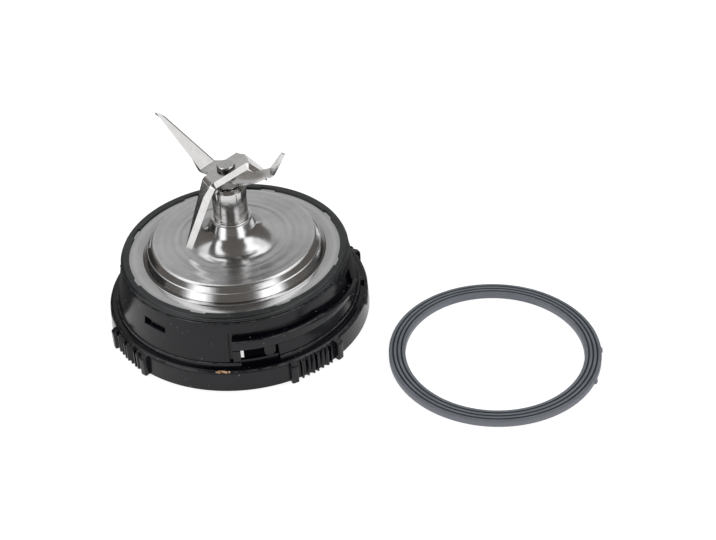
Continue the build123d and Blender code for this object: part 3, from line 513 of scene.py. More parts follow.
# Plate, rim, housing and seal, in millimetres, and the counts of their points
TURN_COLUMNS = 300
HOUSING_COLUMNS = 120
PLATE_R = 44.9
PLATE_Z = 29.85
PLATE_DISH = 0.35
PLATE_EDGE_H = 0.2
SHEET_T = 0.8
STEP_FOOT_R = 37.5
STEP_FOOT_TOP = (37.2, 31.0)
STEP_MID = (35.7, 33.9)
STEP_LAND_R = 35.35
PLATEAU = (33.5, 36.4)
FLARE_FOOT = (22.5, 36.8)
FLARE_SAG = 2.2
FLARE_TOP = (9.7, 43.0)
PLATE_COLLAR = (8.5, 46.3)
PLATE_HOLE_R = 7.3
FLAT_STEPS = 160
UNDER_EVERY = 6  # the underside takes every sixth point of the top line
SPUN_RINGS = ((31.0, 1.0, 0.035), (27.2, 1.3, 0.055), (23.6, 1.0, 0.045))  # radius, half width, depth
RIM_R = 47.0
RIM_TOP_Z = 30.85
RIM_LIP_R = 43.4
RIM_POCKET_R = 45.1
RIM_UNDER_Z = 29.05
RIM_BEAD_H = 0.5
RIM_BEAD_OUT = 0.3
RIM_NOTCH_AZ = -17.0
RIM_NOTCH_TURN = 45.0
RIM_NOTCH_SPAN = 8.5
RIM_NOTCH_DEPTH = 0.75
RIM_NOTCH_FLANK = 0.25
RIM_LIP_GAP = 0.1
RIM_LIP_BAND = 0.3  # width of the lip that the notches move
NECK_TUBE_R = 7.1
NECK_TOP_Z = 62.0
NECK_FLANGE_R = 8.4
NECK_FLANGE_Z = 46.3
NECK_FLANGE_T = 0.8
NECK_CHAMFER = 1.1
O_GROOVE_R = 6.47
O_GROOVE_Z = 45.47
SEAL_POCKET_R = 5.8
SEAL_POCKET_Z = 57.6
HOUSING_BORE_R = 5.05
HOUSING_BOTTOM_Z = 17.0
HOUSING_THREAD_R = 6.5
HOUSING_SHOULDER_Z = 36.0
SEAL_CENTRE = (103.7, -39.5)
SEAL_OUTER_R = 42.6
SEAL_INNER_R = 35.9
SEAL_THICK = 2.9
SEAL_EASE = 0.2
SEAL_IN_WALL = 1.2
SEAL_OUT_WALL = 1.4
SEAL_RIDGES = 4
SEAL_GROOVE_DEPTH = 0.5
SEAL_RIDGE_POWER = 0.45  # below one makes fat ridges and thin grooves
FLASH_AZ = (-2.3, -28.1)
FLASH_OUT = 0.7
FLASH_HALF = 1.2
FLASH_FLANK = 0.25


def flare_curve(steps=40):
    """Hollow flare of the plate: the arc of a circle through its foot and top with the given sag."""
    foot, top = np.array(FLARE_FOOT), np.array(FLARE_TOP)
    chord = top - foot
    length = np.linalg.norm(chord)
    radius = (length ** 2 / 4 + FLARE_SAG ** 2) / (2 * FLARE_SAG)
    normal = np.array((chord[1], -chord[0])) / length
    if normal[1] > 0:
        normal = -normal
    middle = (foot + top) / 2 - normal * (radius - FLARE_SAG)
    half = np.arcsin(length / 2 / radius)
    swing = np.linspace(-half, half, steps)[:, None]
    return middle + radius * (normal * np.cos(swing) + chord / length * np.sin(swing))


def make_plate():
    """Pressed dome plate: its top line, turned about Z and thickened downwards.

    From the outside in, the line is the slightly dished annulus, two steps, the flat with its shallow spun
    rings (a bell curve each), the hollow flare and the collar round the neck.
    """
    edge = rounded(  # radius, height and round of each corner
        [
            (PLATE_R, PLATE_Z + PLATE_DISH - PLATE_EDGE_H, 0),
            (PLATE_R, PLATE_Z + PLATE_DISH, 0.15),
            (STEP_FOOT_R, PLATE_Z, 0.4),
            (*STEP_FOOT_TOP, 0.9),
            (*STEP_MID, 0.5),
            (STEP_LAND_R, STEP_MID[1], 0.15),
            (*PLATEAU, 1.5),
            (*FLARE_FOOT, 0),
        ],
        steps=7,
    )
    flat = np.linspace(edge[-3], np.array(FLARE_FOOT), FLAT_STEPS)
    top = np.concatenate([edge[:-3], flat, flare_curve()[1:]])
    collar = rounded([(*FLARE_TOP, 0), (*PLATE_COLLAR, 0.5), (PLATE_HOLE_R, PLATE_COLLAR[1], 0)], steps=6)
    line = np.concatenate([top, collar[1:]])
    for radius, half, depth in SPUN_RINGS:
        line[:, 1] -= depth * np.exp(-(((line[:, 0] - radius) / half) ** 2))
    along = np.gradient(line, axis=0)
    down = np.stack([along[:, 1], -along[:, 0]], 1) / np.linalg.norm(along, axis=1)[:, None]
    down *= np.sign(-down[len(down) // 2, 1])
    under = line + SHEET_T * down
    under[:, 0] = np.clip(under[:, 0], PLATE_HOLE_R, PLATE_R)
    under[:, 1] = np.maximum(under[:, 1], PLATE_Z - SHEET_T)
    section = np.concatenate([line, under[::UNDER_EVERY][::-1]])
    points = turned_points(section, full_turn(TURN_COLUMNS))
    return surface("pressed_plate", points, wrap_u=True, wrap_v=True, sharp=SHARP_PRESSED)


def make_rim():
    """Rim ring: a closed section whose inner lip steps outwards in eight notches."""
    middles = np.arange(0, 360, RIM_NOTCH_TURN)[:, None] + RIM_NOTCH_AZ
    span = RIM_NOTCH_SPAN / 2 + np.array((-RIM_NOTCH_FLANK, -0.12, 0, 0.12))
    columns = np.concatenate([full_turn(TURN_COLUMNS), (middles - span).ravel(), (middles + span).ravel()])
    az = np.unique(np.round(columns % 360, 3))
    offset = np.abs(from_middle(az, RIM_NOTCH_AZ, RIM_NOTCH_TURN))
    notch = RIM_NOTCH_DEPTH * np.clip((RIM_NOTCH_SPAN / 2 - offset) / RIM_NOTCH_FLANK, 0, 1)
    lip_z = PLATE_Z + PLATE_DISH - RIM_LIP_GAP
    section = rounded(  # radius, height and round of each corner
        [
            (RIM_POCKET_R, RIM_UNDER_Z, 0),
            (RIM_R, RIM_UNDER_Z, 0.12),
            (RIM_R, RIM_UNDER_Z + RIM_BEAD_H, 0.15),
            (RIM_R - RIM_BEAD_OUT, RIM_UNDER_Z + RIM_BEAD_H, 0.05),
            (RIM_R - RIM_BEAD_OUT, RIM_TOP_Z, 1.0),
            (RIM_LIP_R, RIM_TOP_Z, 0.15),
            (RIM_LIP_R, lip_z, 0.05),
            (RIM_POCKET_R, lip_z, 0),
        ],
        steps=6,
    )
    lip = (section[:, 0] < RIM_LIP_R + RIM_LIP_BAND)[None]
    r = section[None, :, 0] + lip * notch[:, None]
    points = about_axis(r, section[None, :, 1], az[:, None])
    return surface("rim_moulding", points, wrap_u=True, wrap_v=True)


def make_housing():
    """Bearing housing: one turned section with rounded edges on the neck and its flange."""
    section = rounded(  # radius, height and round of each corner
        [
            (HOUSING_BORE_R, HOUSING_BOTTOM_Z, 0),
            (HOUSING_THREAD_R, HOUSING_BOTTOM_Z, 0.3),
            (HOUSING_THREAD_R, HOUSING_SHOULDER_Z, 0.1),
            (NECK_TUBE_R, HOUSING_SHOULDER_Z, 0.1),
            (NECK_TUBE_R, O_GROOVE_Z, 0),
            (O_GROOVE_R, O_GROOVE_Z, 0),
            (O_GROOVE_R, NECK_FLANGE_Z, 0),
            (NECK_FLANGE_R, NECK_FLANGE_Z, 0.2),
            (NECK_FLANGE_R, NECK_FLANGE_Z + NECK_FLANGE_T, 0.3),
            (NECK_TUBE_R, NECK_FLANGE_Z + NECK_FLANGE_T, 0.2),
            (NECK_TUBE_R, NECK_TOP_Z - NECK_CHAMFER, 0.3),
            (NECK_TUBE_R - NECK_CHAMFER, NECK_TOP_Z, 0.1),
            (SEAL_POCKET_R, NECK_TOP_Z, 0.05),
            (SEAL_POCKET_R, SEAL_POCKET_Z, 0.05),
            (HOUSING_BORE_R, SEAL_POCKET_Z, 0),
        ],
        steps=6,
    )
    points = turned_points(section, full_turn(HOUSING_COLUMNS))
    return surface("bearing_housing_turned", points, wrap_u=True, wrap_v=True)


def make_seal():
    """Jug seal: a ring whose top is a row of round ridges, with two nubs of flash on its outer edge."""
    width = SEAL_OUTER_R - SEAL_INNER_R
    across = np.linspace(0, 1, 81)
    ridge = np.abs(np.sin(pi * SEAL_RIDGES * across)) ** SEAL_RIDGE_POWER
    top = np.stack([SEAL_INNER_R + width * across, SEAL_THICK - SEAL_GROOVE_DEPTH * (1 - ridge)], 1)
    section = np.concatenate(
        [
            [(SEAL_INNER_R + SEAL_EASE, 0.0), (SEAL_INNER_R, SEAL_EASE), (SEAL_INNER_R, SEAL_IN_WALL)],
            top,
            [(SEAL_OUTER_R, SEAL_OUT_WALL), (SEAL_OUTER_R, SEAL_EASE), (SEAL_OUTER_R - SEAL_EASE, 0.0)],
        ]
    )
    columns = [full_turn(TURN_COLUMNS), *(middle + np.linspace(-2, 2, 21) for middle in FLASH_AZ)]
    az = np.unique(np.round(np.concatenate(columns) % 360, 3))
    nub = 0
    for middle in FLASH_AZ:
        nub = nub + np.clip((FLASH_HALF - np.abs(from_middle(az, middle))) / FLASH_FLANK, 0, 1)
    outer = (np.arange(len(section)) > len(section) - 4)[None]
    r = section[None, :, 0] + FLASH_OUT * nub[:, None] * outer
    points = about_axis(r, section[None, :, 1], az[:, None], SEAL_CENTRE)
    return surface("jug_seal_ring", points, wrap_u=True, wrap_v=True, sharp=SHARP_SEAL)


def softened_copy(node, name, width):
    """A CAD piece with its loose triangles merged and its edges rounded a little."""
    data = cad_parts[node].data.copy()
    data.name = name
    work = bmesh.new()
    work.from_mesh(data)
    bmesh.ops.remove_doubles(work, verts=work.verts, dist=COPY_GAP)
    work.to_mesh(data)
    work.free()
    piece = placed(name, data, SHARP_COPY)
    if width > 0:
        bevel = piece.modifiers.new("edges", "BEVEL")
        bevel.width = width * MM
        bevel.segments = 2
        bevel.limit_method = "ANGLE"
        bevel.angle_limit = radians(SHARP_COPY)
        bevel.harden_normals = True
    flat = piece.modifiers.new("flat_faces", "WEIGHTED_NORMAL")
    flat.keep_sharp = True
    return piece


class Wire:
    """A shader value. Arithmetic on it adds Math nodes to its graph."""

    def __init__(self, graph, socket):
        self.graph = graph
        self.socket = socket

    def math(self, operation, *terms):
        return self.graph.node("ShaderNodeMath", {"operation": operation}, dict(enumerate(terms)))

    def __add__(self, other):
        return self.math("ADD", self, other)

    def __sub__(self, other):
        return self.math("SUBTRACT", self, other)

    def __rsub__(self, other):
        return self.math("SUBTRACT", other, self)

    def __mul__(self, other):
        return self.math("MULTIPLY", self, other)

    def __truediv__(self, other):
        return self.math("DIVIDE", self, other)

    def __pow__(self, other):
        return self.math("POWER", self, other)

    __radd__ = __add__
    __rmul__ = __mul__

    def swing(self, amount):
        """How far a noise is from its middle value, times an amount."""
        return (self - 0.5) * amount

    def ramp(self, low, high, start=0.0, end=1.0):
        """Map low..high to start..end, smoothly and held at both ends."""
        settings = {"interpolation_type": "SMOOTHSTEP"}
        return self.graph.node("ShaderNodeMapRange", settings, {0: self, 1: low, 2: high, 3: start, 4: end})


class Graph:
    """A node tree, to which every node is added by one method."""

    def __init__(self, tree):
        self.tree = tree

    def node(self, kind, settings=None, sockets=None, out=0):
        """Add a node: its settings first, then the values or wires of its sockets."""
        made = self.tree.nodes.new(kind)
        for key, value in (settings or {}).items():
            setattr(made, key, value)
        for key, value in (sockets or {}).items():
            if isinstance(value, Wire):
                self.tree.links.new(value.socket, made.inputs[key])
            else:
                made.inputs[key].default_value = value
        return Wire(self, made.outputs[out])


class Finish(Graph):
    """A material of one Principled shader. Its constants are set by name, with _ for a space."""

    def __init__(self, name, **constants):
        self.material = bpy.data.materials.new(name)
        self.material.use_nodes = True
        super().__init__(self.material.node_tree)
        self.shader = self.tree.nodes["Principled BSDF"]
        for socket, value in constants.items():
            self.shader.inputs[socket.replace("_", " ")].default_value = value

    def place(self):
        """Object coordinates, in metres."""
        return self.node("ShaderNodeTexCoord", out=3)

    def part(self, vector, axis):
        """One of the X, Y or Z parts of a vector."""
        return self.node("ShaderNodeSeparateXYZ", sockets={0: vector}, out="XYZ".index(axis))

    def vector(self, operation, *terms, out=0):
        """Arithmetic on vectors; output 0 is a vector and output 1 a plain value."""
        return self.node("ShaderNodeVectorMath", {"operation": operation}, dict(enumerate(terms)), out)

    def moved(self, vector, centre=(0, 0, 0), stretch=(1, 1, 1), turn=(0, 0, 0)):
        """A vector shifted so that centre is its origin, then stretched and turned."""
        shifted = self.vector("SUBTRACT", vector, centre)
        return self.node("ShaderNodeMapping", {"vector_type": "POINT"}, {0: shifted, 2: turn, 3: stretch})

    def noise(self, vector, scale, detail=3.0, rough=0.55):
        """Soft noise about 0.5 at a scale per metre."""
        sockets = {"Vector": vector, "Scale": scale, "Detail": detail, "Roughness": rough}
        return self.node("ShaderNodeTexNoise", sockets=sockets)

    def line_noise(self, value, scale, detail=2.0):
        """Noise that changes along one value only."""
        sockets = {"W": value, "Scale": scale, "Detail": detail}
        return self.node("ShaderNodeTexNoise", {"noise_dimensions": "1D"}, sockets)

    def radius(self, vector):
        """Distance from the Z axis of a vector."""
        x, y = self.part(vector, "X"), self.part(vector, "Y")
        return (x * x + y * y) ** 0.5

    def mix(self, share, first, second):
        """Colour between two colours."""
        return self.node("ShaderNodeMix", {"data_type": "RGBA"}, {0: share, 6: first, 7: second}, out=2)

    def bump(self, height, depth, under=None):
        """Normal from a height between 0 and 1 and its depth in millimetres, laid over another normal."""
        sockets = {"Height": height, "Distance": depth * MM, "Strength": 1.0}
        if under is not None:
            sockets["Normal"] = under
        return self.node("ShaderNodeBump", sockets=sockets)

    def feed(self, **wires):
        """Link wires to the shader's sockets."""
        for socket, wire in wires.items():
            self.tree.links.new(wire.socket, self.shader.inputs[socket.replace("_", " ")])
        return self.material


def colour(r, g, b):
    """A colour with full alpha, in linear values."""
    return (r, g, b, 1.0)


def metres(lengths):
    """Lengths in millimetres, turned into metres."""
    return [length * MM for length in lengths]


# Colours, alone or as a darker and a paler one between which a finish varies
WHITE = colour(1, 1, 1)
BLACK = colour(0, 0, 0)
GRIP_TONES = (colour(0.0018, 0.0021, 0.004), colour(0.0042, 0.0046, 0.0075))
RIM_TONES = (colour(0.0075, 0.0095, 0.0105), colour(0.018, 0.0225, 0.024))
CARRIER_TONES = (colour(0.01, 0.01, 0.011), colour(0.02, 0.02, 0.022))
COUPLING_TONES = (colour(0.014, 0.014, 0.015), colour(0.03, 0.03, 0.032))
WASHER_TONES = (colour(0.62, 0.6, 0.55), colour(0.78, 0.77, 0.73))
GASKET_TONES = (colour(0.012, 0.012, 0.012), colour(0.026, 0.026, 0.026))
PLATE_TONES = (colour(0.50, 0.50, 0.505), colour(0.64, 0.64, 0.645))
BLADE_TONES = (colour(0.57, 0.562, 0.555), colour(0.74, 0.733, 0.725))
HOUSING_TONES = (colour(0.52, 0.515, 0.51), colour(0.68, 0.675, 0.67))
SHAFT_TONES = (colour(0.5, 0.495, 0.49), colour(0.66, 0.655, 0.65))
# painted shade: the spacer's steel is dark, for the shade in the gap under the blades
SPACER_TONES = (colour(0.16, 0.155, 0.15), colour(0.3, 0.29, 0.28))
FASTENER_TONES = (colour(0.42, 0.42, 0.42), colour(0.6, 0.6, 0.59))
SLATE_TONES = (colour(0.122, 0.138, 0.156), colour(0.194, 0.216, 0.242))
BRONZE_TONES = (colour(0.33, 0.2, 0.09), colour(0.6, 0.42, 0.2))
FLAKE_TONES = (colour(0.3, 0.13, 0.05), colour(0.72, 0.5, 0.3))
SEAL_WALL = colour(0.165, 0.172, 0.2)
DUST = colour(0.16, 0.16, 0.15)
# painted highlight along the collar's round edges
EDGE_HIGHLIGHT = colour(0.06, 0.061, 0.063)
# painted shade on the lower blade's top under the upper blade
UNDER_BLADE_SHADE = colour(0.15, 0.12, 0.095)
# painted shade along the rising arm's rear edge
REAR_EDGE_SHADE = colour(0.06, 0.058, 0.055)
# painted shade on the rivet head's side
HEAD_SIDE_SHADE = colour(0.075, 0.07, 0.065)
GROOVE_DARK = colour(0.022, 0.026, 0.034)

# Dirt, painted highlights and painted shade, in millimetres and degrees: where each mark lies
# Painted highlight lines on the collar's round edges: radius and height of each edge, and the lines' width
HIGHLIGHT_EDGES = ((53.62, 9.22), (50.95, 11.45), (50.5, 21.6), (46.9, 28.4))  # radius and height
HIGHLIGHT_WIDTH = 0.4
FLAKE_AZ = -94.7
FLAKE_R = 53.7
FLAKE_Z = 9.5
FLAKE_HALF = (3.7, 0.8, 0.8)
# Painted shade on the lower blade's top under the upper blade: its middle and half sizes
UNDER_BLADE_AT = (9.5, -3.6, 68.0)
UNDER_BLADE_HALF = (8.0, 4.5, 3.0)
# Painted shade along the rising arm's rear edge, where the sheet's edge lies in shade
REAR_NORMAL = (0.485, 0.862, 0.15)  # square to the rising arm's rear edge, in the plane of the arm
REAR_AT = 15.06
REAR_WIDTH = 0.7
REAR_FROM_X = (-4.0, -6.0)
# Radii and heights over which painted shade darkens the rivet head's side
HEAD_SIDE = (3.5, 3.68)
HEAD_FOOT_Z = (69.0, 69.1)

# Radii of the plate, in millimetres, over which its satin flat begins and ends and its seal seat begins
SATIN_FROM = (19.0, 23.0)
SATIN_TO = (34.5, 33.5)
SEAT_FROM = (37.4, 38.0)
SEAL_EDGE = (0.2, 0.6)  # width over which the seal's top gives way to its side walls
SEAL_GROOVE_DARK = (0.03, 0.35)  # shares of the groove depth over which the darker colour begins


def black_layers(finish, place, tones, rough):
    """Colour, roughness and normal of a black moulding: cloudy colour, fine grain, rubbed gloss and dust."""
    cloud = finish.noise(place, 90.0, detail=4.0)
    scuff = finish.noise(finish.moved(place, stretch=(1, 1, 6)), 420.0, detail=5.0, rough=0.7)
    fine = finish.noise(place, 3800.0, detail=2.0)
    dust = finish.noise(place, 900.0, detail=2.0, rough=0.4).ramp(0.735, 0.76)
    plain = finish.mix((cloud * 0.6 + scuff * 0.4).ramp(0.35, 0.7), *tones)
    gloss = rough + cloud.swing(0.12) + scuff.swing(0.08) + dust * 0.4
    # Colour, roughness and normal of a black moulding: cloudy colour, fine grain, scuffed gloss and dust.
    normal = finish.bump(fine, 0.006, under=finish.bump(cloud, 0.08))
    return finish.mix(dust, plain, DUST), gloss, normal


def moulded_black(name, tones, rough):
    """Plain moulding or rubber with cloudy colour and dust."""
    finish = Finish(name)
    base, gloss, normal = black_layers(finish, finish.place(), tones, rough)
    return finish.feed(Base_Color=base, Roughness=gloss, Normal=normal)


def grip_black():
    """Black of the grip collar: painted highlight lines along its round edges, with one dried flake on the
    ring.
    """
    finish = Finish("body_black", Specular_IOR_Level=0.33)
    place = finish.place()
    base, gloss, normal = black_layers(finish, place, GRIP_TONES, 0.2)
    radius, height = finish.radius(place), finish.part(place, "Z")
    highlit = 0.0
    for edge_r, edge_z in HIGHLIGHT_EDGES:
        across = (radius - edge_r * MM) / (HIGHLIGHT_WIDTH * MM)
        along = (height - edge_z * MM) / (HIGHLIGHT_WIDTH * MM)
        highlit = (1 - across * across - along * along).ramp(0, 1) + highlit
    # painted highlight: paler lines along the round edges, broken up by noise
    highlight = highlit * finish.noise(place, 300.0, detail=4.0, rough=0.7).ramp(0.35, 0.65)
    angle = radians(FLAKE_AZ)
    centre = metres((FLAKE_R * cos(angle), FLAKE_R * sin(angle), FLAKE_Z))
    local = finish.moved(place, centre=centre, turn=(0, 0, -angle - pi / 2))
    u, v, w = (finish.part(local, axis) / half for axis, half in zip("XYZ", metres(FLAKE_HALF)))
    ragged = finish.noise(place, 700.0, rough=0.6)
    flake = (1.1 - u * u - v * v - w * w + ragged.swing(3.0)).ramp(0.3, 0.45)
    crust = finish.mix(finish.noise(place, 1400.0, detail=2.0).ramp(0.4, 0.6), *FLAKE_TONES)
    return finish.feed(
        Base_Color=finish.mix(flake, finish.mix(highlight, base, EDGE_HIGHLIGHT), crust),
        Roughness=gloss + highlight * 0.08 + flake * 0.5,
        Normal=finish.bump(flake, 0.2, under=normal),
    )


def spun_steel():
    """Pressed and spun plate steel: soft broad rings, fine tool rings about the axis, faint water marks."""
    finish = Finish("spun_steel", Metallic=1.0, Anisotropic=0.3)
    place = finish.place()
    radius = finish.radius(place)
    rings = finish.line_noise(radius, 2600.0, detail=3.0)
    waves = finish.line_noise(radius, 330.0, detail=1.0)
    lines = finish.line_noise(radius - finish.part(place, "Z"), 1300.0)
    cloud = finish.noise(place, 70.0)
    spots = finish.noise(place, 520.0, detail=4.0, rough=0.65).ramp(0.58, 0.75)
    satin = radius.ramp(*metres(SATIN_FROM)) * radius.ramp(*metres(SATIN_TO))
    seat = radius.ramp(*metres(SEAT_FROM))
    normal = finish.bump(cloud * (1 - seat * 0.7), 0.15)
    normal = finish.bump(waves * (1 - seat), 0.03, under=normal)
    normal = finish.bump(lines * (1.1 - satin) * (1 - seat), 0.014, under=normal)
    return finish.feed(
        Base_Color=finish.mix((waves * 0.4 + cloud * 0.6).ramp(0.3, 0.7), *PLATE_TONES),
        Roughness=0.15 + satin * 0.06 + rings.swing(0.08) + cloud.swing(0.08) + spots * 0.06,
        Normal=finish.bump(rings, 0.0025, under=normal),
    )


def blade_painted_shade(finish, place, scratch, base):
    """Painted shade on the lower blade: streaky tan shade by the neck where the upper blade shades it, and a
    dark line of shade along the rising arm's rear edge.
    """
    # painted shade: streaky tan darkening by the neck, where the upper blade shades the lower one
    near = finish.moved(place, centre=metres(UNDER_BLADE_AT), stretch=[1 / half for half in metres(UNDER_BLADE_HALF)])
    under_shade = finish.vector("LENGTH", near, out=1).ramp(1.0, 0.45) * scratch.ramp(0.4, 0.62, 0.35, 0.9)
    # painted shade: a dark line along the rising arm's rear edge
    across = finish.vector("DOT_PRODUCT", place, REAR_NORMAL, out=1)
    rear = across.ramp((REAR_AT - REAR_WIDTH) * MM, (REAR_AT - REAR_WIDTH / 2) * MM)
    rear = rear * finish.part(place, "X").ramp(*metres(REAR_FROM_X)) * scratch.ramp(0.3, 0.6, 0.6, 1.0)
    return finish.mix(rear, finish.mix(under_shade, base, UNDER_BLADE_SHADE), REAR_EDGE_SHADE)


def ground_steel(name, heading, rough, shaded=False):
    """Blade steel, ground along a heading in degrees: long fine scratches and a slightly uneven sheen."""
    finish = Finish(name, Metallic=1.0)
    place = finish.place()
    drawn = finish.moved(place, stretch=(1.0, 14.0, 14.0), turn=(0, 0, radians(-heading)))
    scratch = finish.noise(drawn, 900.0, detail=4.0, rough=0.6)
    cloud = finish.noise(place, 160.0)
    base = finish.mix((scratch * 0.5 + cloud * 0.5).ramp(0.3, 0.7), *BLADE_TONES)
    return finish.feed(
        Base_Color=blade_painted_shade(finish, place, scratch, base) if shaded else base,
        Roughness=rough + scratch.swing(0.16) + cloud.swing(0.1),
        Normal=finish.bump(scratch, 0.012, under=finish.bump(cloud, 0.06)),
    )


def turned_steel(name, tones, rough, shaded_head=False):
    """Turned steel: fine tool rings along the axis, a slight cloud, and on request painted shade on the rivet
    head's side.
    """
    finish = Finish(name, Metallic=1.0)
    place = finish.place()
    radius, height = finish.radius(place), finish.part(place, "Z")
    rings = finish.line_noise(height + radius * 0.7, 3200.0)
    cloud = finish.noise(place, 160.0)
    base = finish.mix((cloud * 0.6 + rings * 0.4).ramp(0.3, 0.7), *tones)
    if shaded_head:
        # painted shade: the rivet head's side is darkened where it lies in shade
        side = radius.ramp(*metres(HEAD_SIDE)) * height.ramp(*metres(HEAD_FOOT_Z))
        base = finish.mix(side, base, HEAD_SIDE_SHADE)
    return finish.feed(
        Base_Color=base,
        Roughness=rough + rings.swing(0.1) + cloud.swing(0.06),
        Normal=finish.bump(rings, 0.004, under=finish.bump(cloud, 0.03)),
    )


def seal_rubber():
    """Slate rubber: fine speckle, darker down in the grooves, paler dust on the ridges and a paler grey on
    the side walls.
    """
    finish = Finish("seal_rubber", Specular_IOR_Level=0.45)
    place = finish.moved(finish.place(), centre=metres((*SEAL_CENTRE, 0)))
    radius = finish.radius(place)
    cloud = finish.noise(place, 120.0, detail=4.0)
    speck = finish.noise(place, 1500.0, rough=0.7)
    inside = radius.ramp(*metres(SEAL_INNER_R + edge for edge in SEAL_EDGE))
    inside = inside * radius.ramp(*metres(SEAL_OUTER_R - edge for edge in SEAL_EDGE))
    depths = metres(SEAL_THICK - share * SEAL_GROOVE_DEPTH for share in SEAL_GROOVE_DARK)
    groove = inside * finish.part(place, "Z").ramp(*depths)
    dusty = finish.mix((cloud * 0.5 + speck * 0.5).ramp(0.3, 0.7), *SLATE_TONES)
    wall = finish.mix(1 - inside, dusty, SEAL_WALL)
    return finish.feed(
        Base_Color=finish.mix(groove, wall, GROOVE_DARK),
        Roughness=0.56 + cloud.swing(0.16) + speck.swing(0.2),
        Normal=finish.bump(speck, 0.03),
    )


def bronze():
    """Sintered bronze with open grains."""
    finish = Finish("bush_bronze", Metallic=1.0)
    grain = finish.noise(finish.place(), 2600.0, rough=0.7)
    return finish.feed(
        Base_Color=finish.mix(grain.ramp(0.3, 0.7), *BRONZE_TONES),
        Roughness=0.38 + grain.swing(0.3),
        Normal=finish.bump(grain, 0.02),
    )


# Dress the pieces
body_black = grip_black()
rim_black = moulded_black("rim_black", RIM_TONES, 0.3)
carrier_black = moulded_black("carrier_black", CARRIER_TONES, 0.48)
coupling_black = moulded_black("coupling_black", COUPLING_TONES, 0.5)
washer_pale = moulded_black("washer_pale", WASHER_TONES, 0.45)
plate_steel = spun_steel()
down_steel = ground_steel("upper_blade_steel", 48.0, 0.2)
# the lower blade gets painted shade under the upper blade and along its rising arm's rear edge
up_steel = ground_steel("lower_blade_steel", 141.0, 0.19, shaded=True)
housing_steel = turned_steel("housing_steel", HOUSING_TONES, 0.1)
# the shaft's rivet head gets painted shade on its side
shaft_steel = turned_steel("shaft_steel", SHAFT_TONES, 0.12, shaded_head=True)
# painted shade: dark spacer steel for the shaded gap under the blades
spacer_steel = turned_steel("spacer_steel", SPACER_TONES, 0.4)
fastener_steel = turned_steel("fastener_steel", FASTENER_TONES, 0.3)
gasket_black = moulded_black("gasket_rubber", GASKET_TONES, 0.62)
ring_rubber = seal_rubber()
bush_bronze = bronze()


def dress(piece, material, node, body):
    """Give a new piece its finish, its body and the node that it stands for."""
    piece.data.materials.clear()
    piece.data.materials.append(material)
    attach(piece, body)
    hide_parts(node)


dress(make_collar(), body_black, "grip_collar", "unit")
dress(make_plate(), plate_steel, "dome_plate", "unit")
dress(make_rim(), rim_black, "rim_ring", "unit")
dress(make_housing(), housing_steel, "bearing_housing", "unit")
dress(make_seal(), ring_rubber, "jug_seal", "unit")
for node, name, edge_round, material, slot in (
    ("upper_blade", "upper_blade_sheet", 0.12, down_steel, "blade_steel"),
    ("lower_blade", "lower_blade_sheet", 0.12, up_steel, "blade_steel"),
    ("drive_shaft", "drive_shaft_turned", 0.0, shaft_steel, "shaft_steel"),
    ("blade_spacer", "blade_spacer_turned", 0.15, spacer_steel, "spacer_steel"),
):
    dress(softened_copy(node, name, edge_round), material, node, "rotor")

NODE_FINISH = {
    **dict.fromkeys(("plate_gasket", "housing_o_ring", "shaft_seal"), gasket_black),
    **dict.fromkeys(("upper_bush", "lower_bush", "coupling_insert"), bush_bronze),
    **dict.fromkeys(("housing_washer", "housing_nut", "retaining_clip"), fastener_steel),
    **dict.fromkeys(("coupling_washer", "coupling_nut"), fastener_steel),
    "blade_carrier": carrier_black,
    "drive_coupling": coupling_black,
    "thrust_washer": washer_pale,
    "seal_cap": housing_steel,
}
for node, material in NODE_FINISH.items():
    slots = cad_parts[node].data.materials
    slots.clear()
    slots.append(material)

# Studio, in metres: white floor and world, soft lamps, and the camera at the photograph's angle
WORLD_LIGHT = 0.35
FLOOR_HALF = 3.0
FLOOR_DROP = 0.00002
FLOOR_TONE = 0.55
FLOOR_GLOW = 0.75
LAMP_AIM = (0.0, 0.0, 0.03)
LAMP_WATTS = 4.0

# Room in the steel's reflections: greys, and edges in degrees as from, to and the width of the soft edge.
# Round the unit they count from -90 in front of it to 90 behind it, and are the same left and right.
ROOM_R = 1.6
DARK_ROOM = 0.15
WARMTH = 0.12
BACKDROP_TONE = 0.58
BACKDROP_AROUND = (60, 180, 8)
BACKDROP_UP = (-90, 42, 4)
PANEL_TONE = 1.8
PANEL_TOP = 74
PANEL_EDGE = 6
PANEL_LOW = ((5, 60), (34, 48))  # the lower edge rises towards the back
PANEL_FRONT = ((48, 76), (-38, -10))  # the front edge leans back with height
PANEL_BACK = ((62, 74), (82, 57))  # and the back edge leans forward
DIP_TONE = 0.65
DIP_AROUND = (-2, 55, 16)
DIP_UP = (20, 56, 6)
BOX_TONE = 2.1
BOX_AROUND = (-61, -34, 13)
BOX_UP = (-10, 34, 5)
FLOOR_CARD_Z = 0.0004


def white_world():
    """World that is white to the eye and in reflections, and lights the object at a plain level."""
    world = bpy.data.worlds.new("studio_white")
    bpy.context.scene.world = world
    world.use_nodes = True
    graph = Graph(world.node_tree)
    light = graph.node("ShaderNodeBackground", sockets={"Color": WHITE, "Strength": WORLD_LIGHT})
    seen = graph.node("ShaderNodeBackground", sockets={"Color": WHITE, "Strength": 1.0})
    white = graph.node("ShaderNodeLightPath", out="Is Camera Ray")
    for ray in ("Is Glossy Ray", "Is Transmission Ray"):
        white = white.math("MAXIMUM", white, graph.node("ShaderNodeLightPath", out=ray))
    shown = graph.node("ShaderNodeMixShader", sockets={0: white, 1: light, 2: seen})
    graph.tree.links.new(shown.socket, graph.tree.nodes["World Output"].inputs["Surface"])


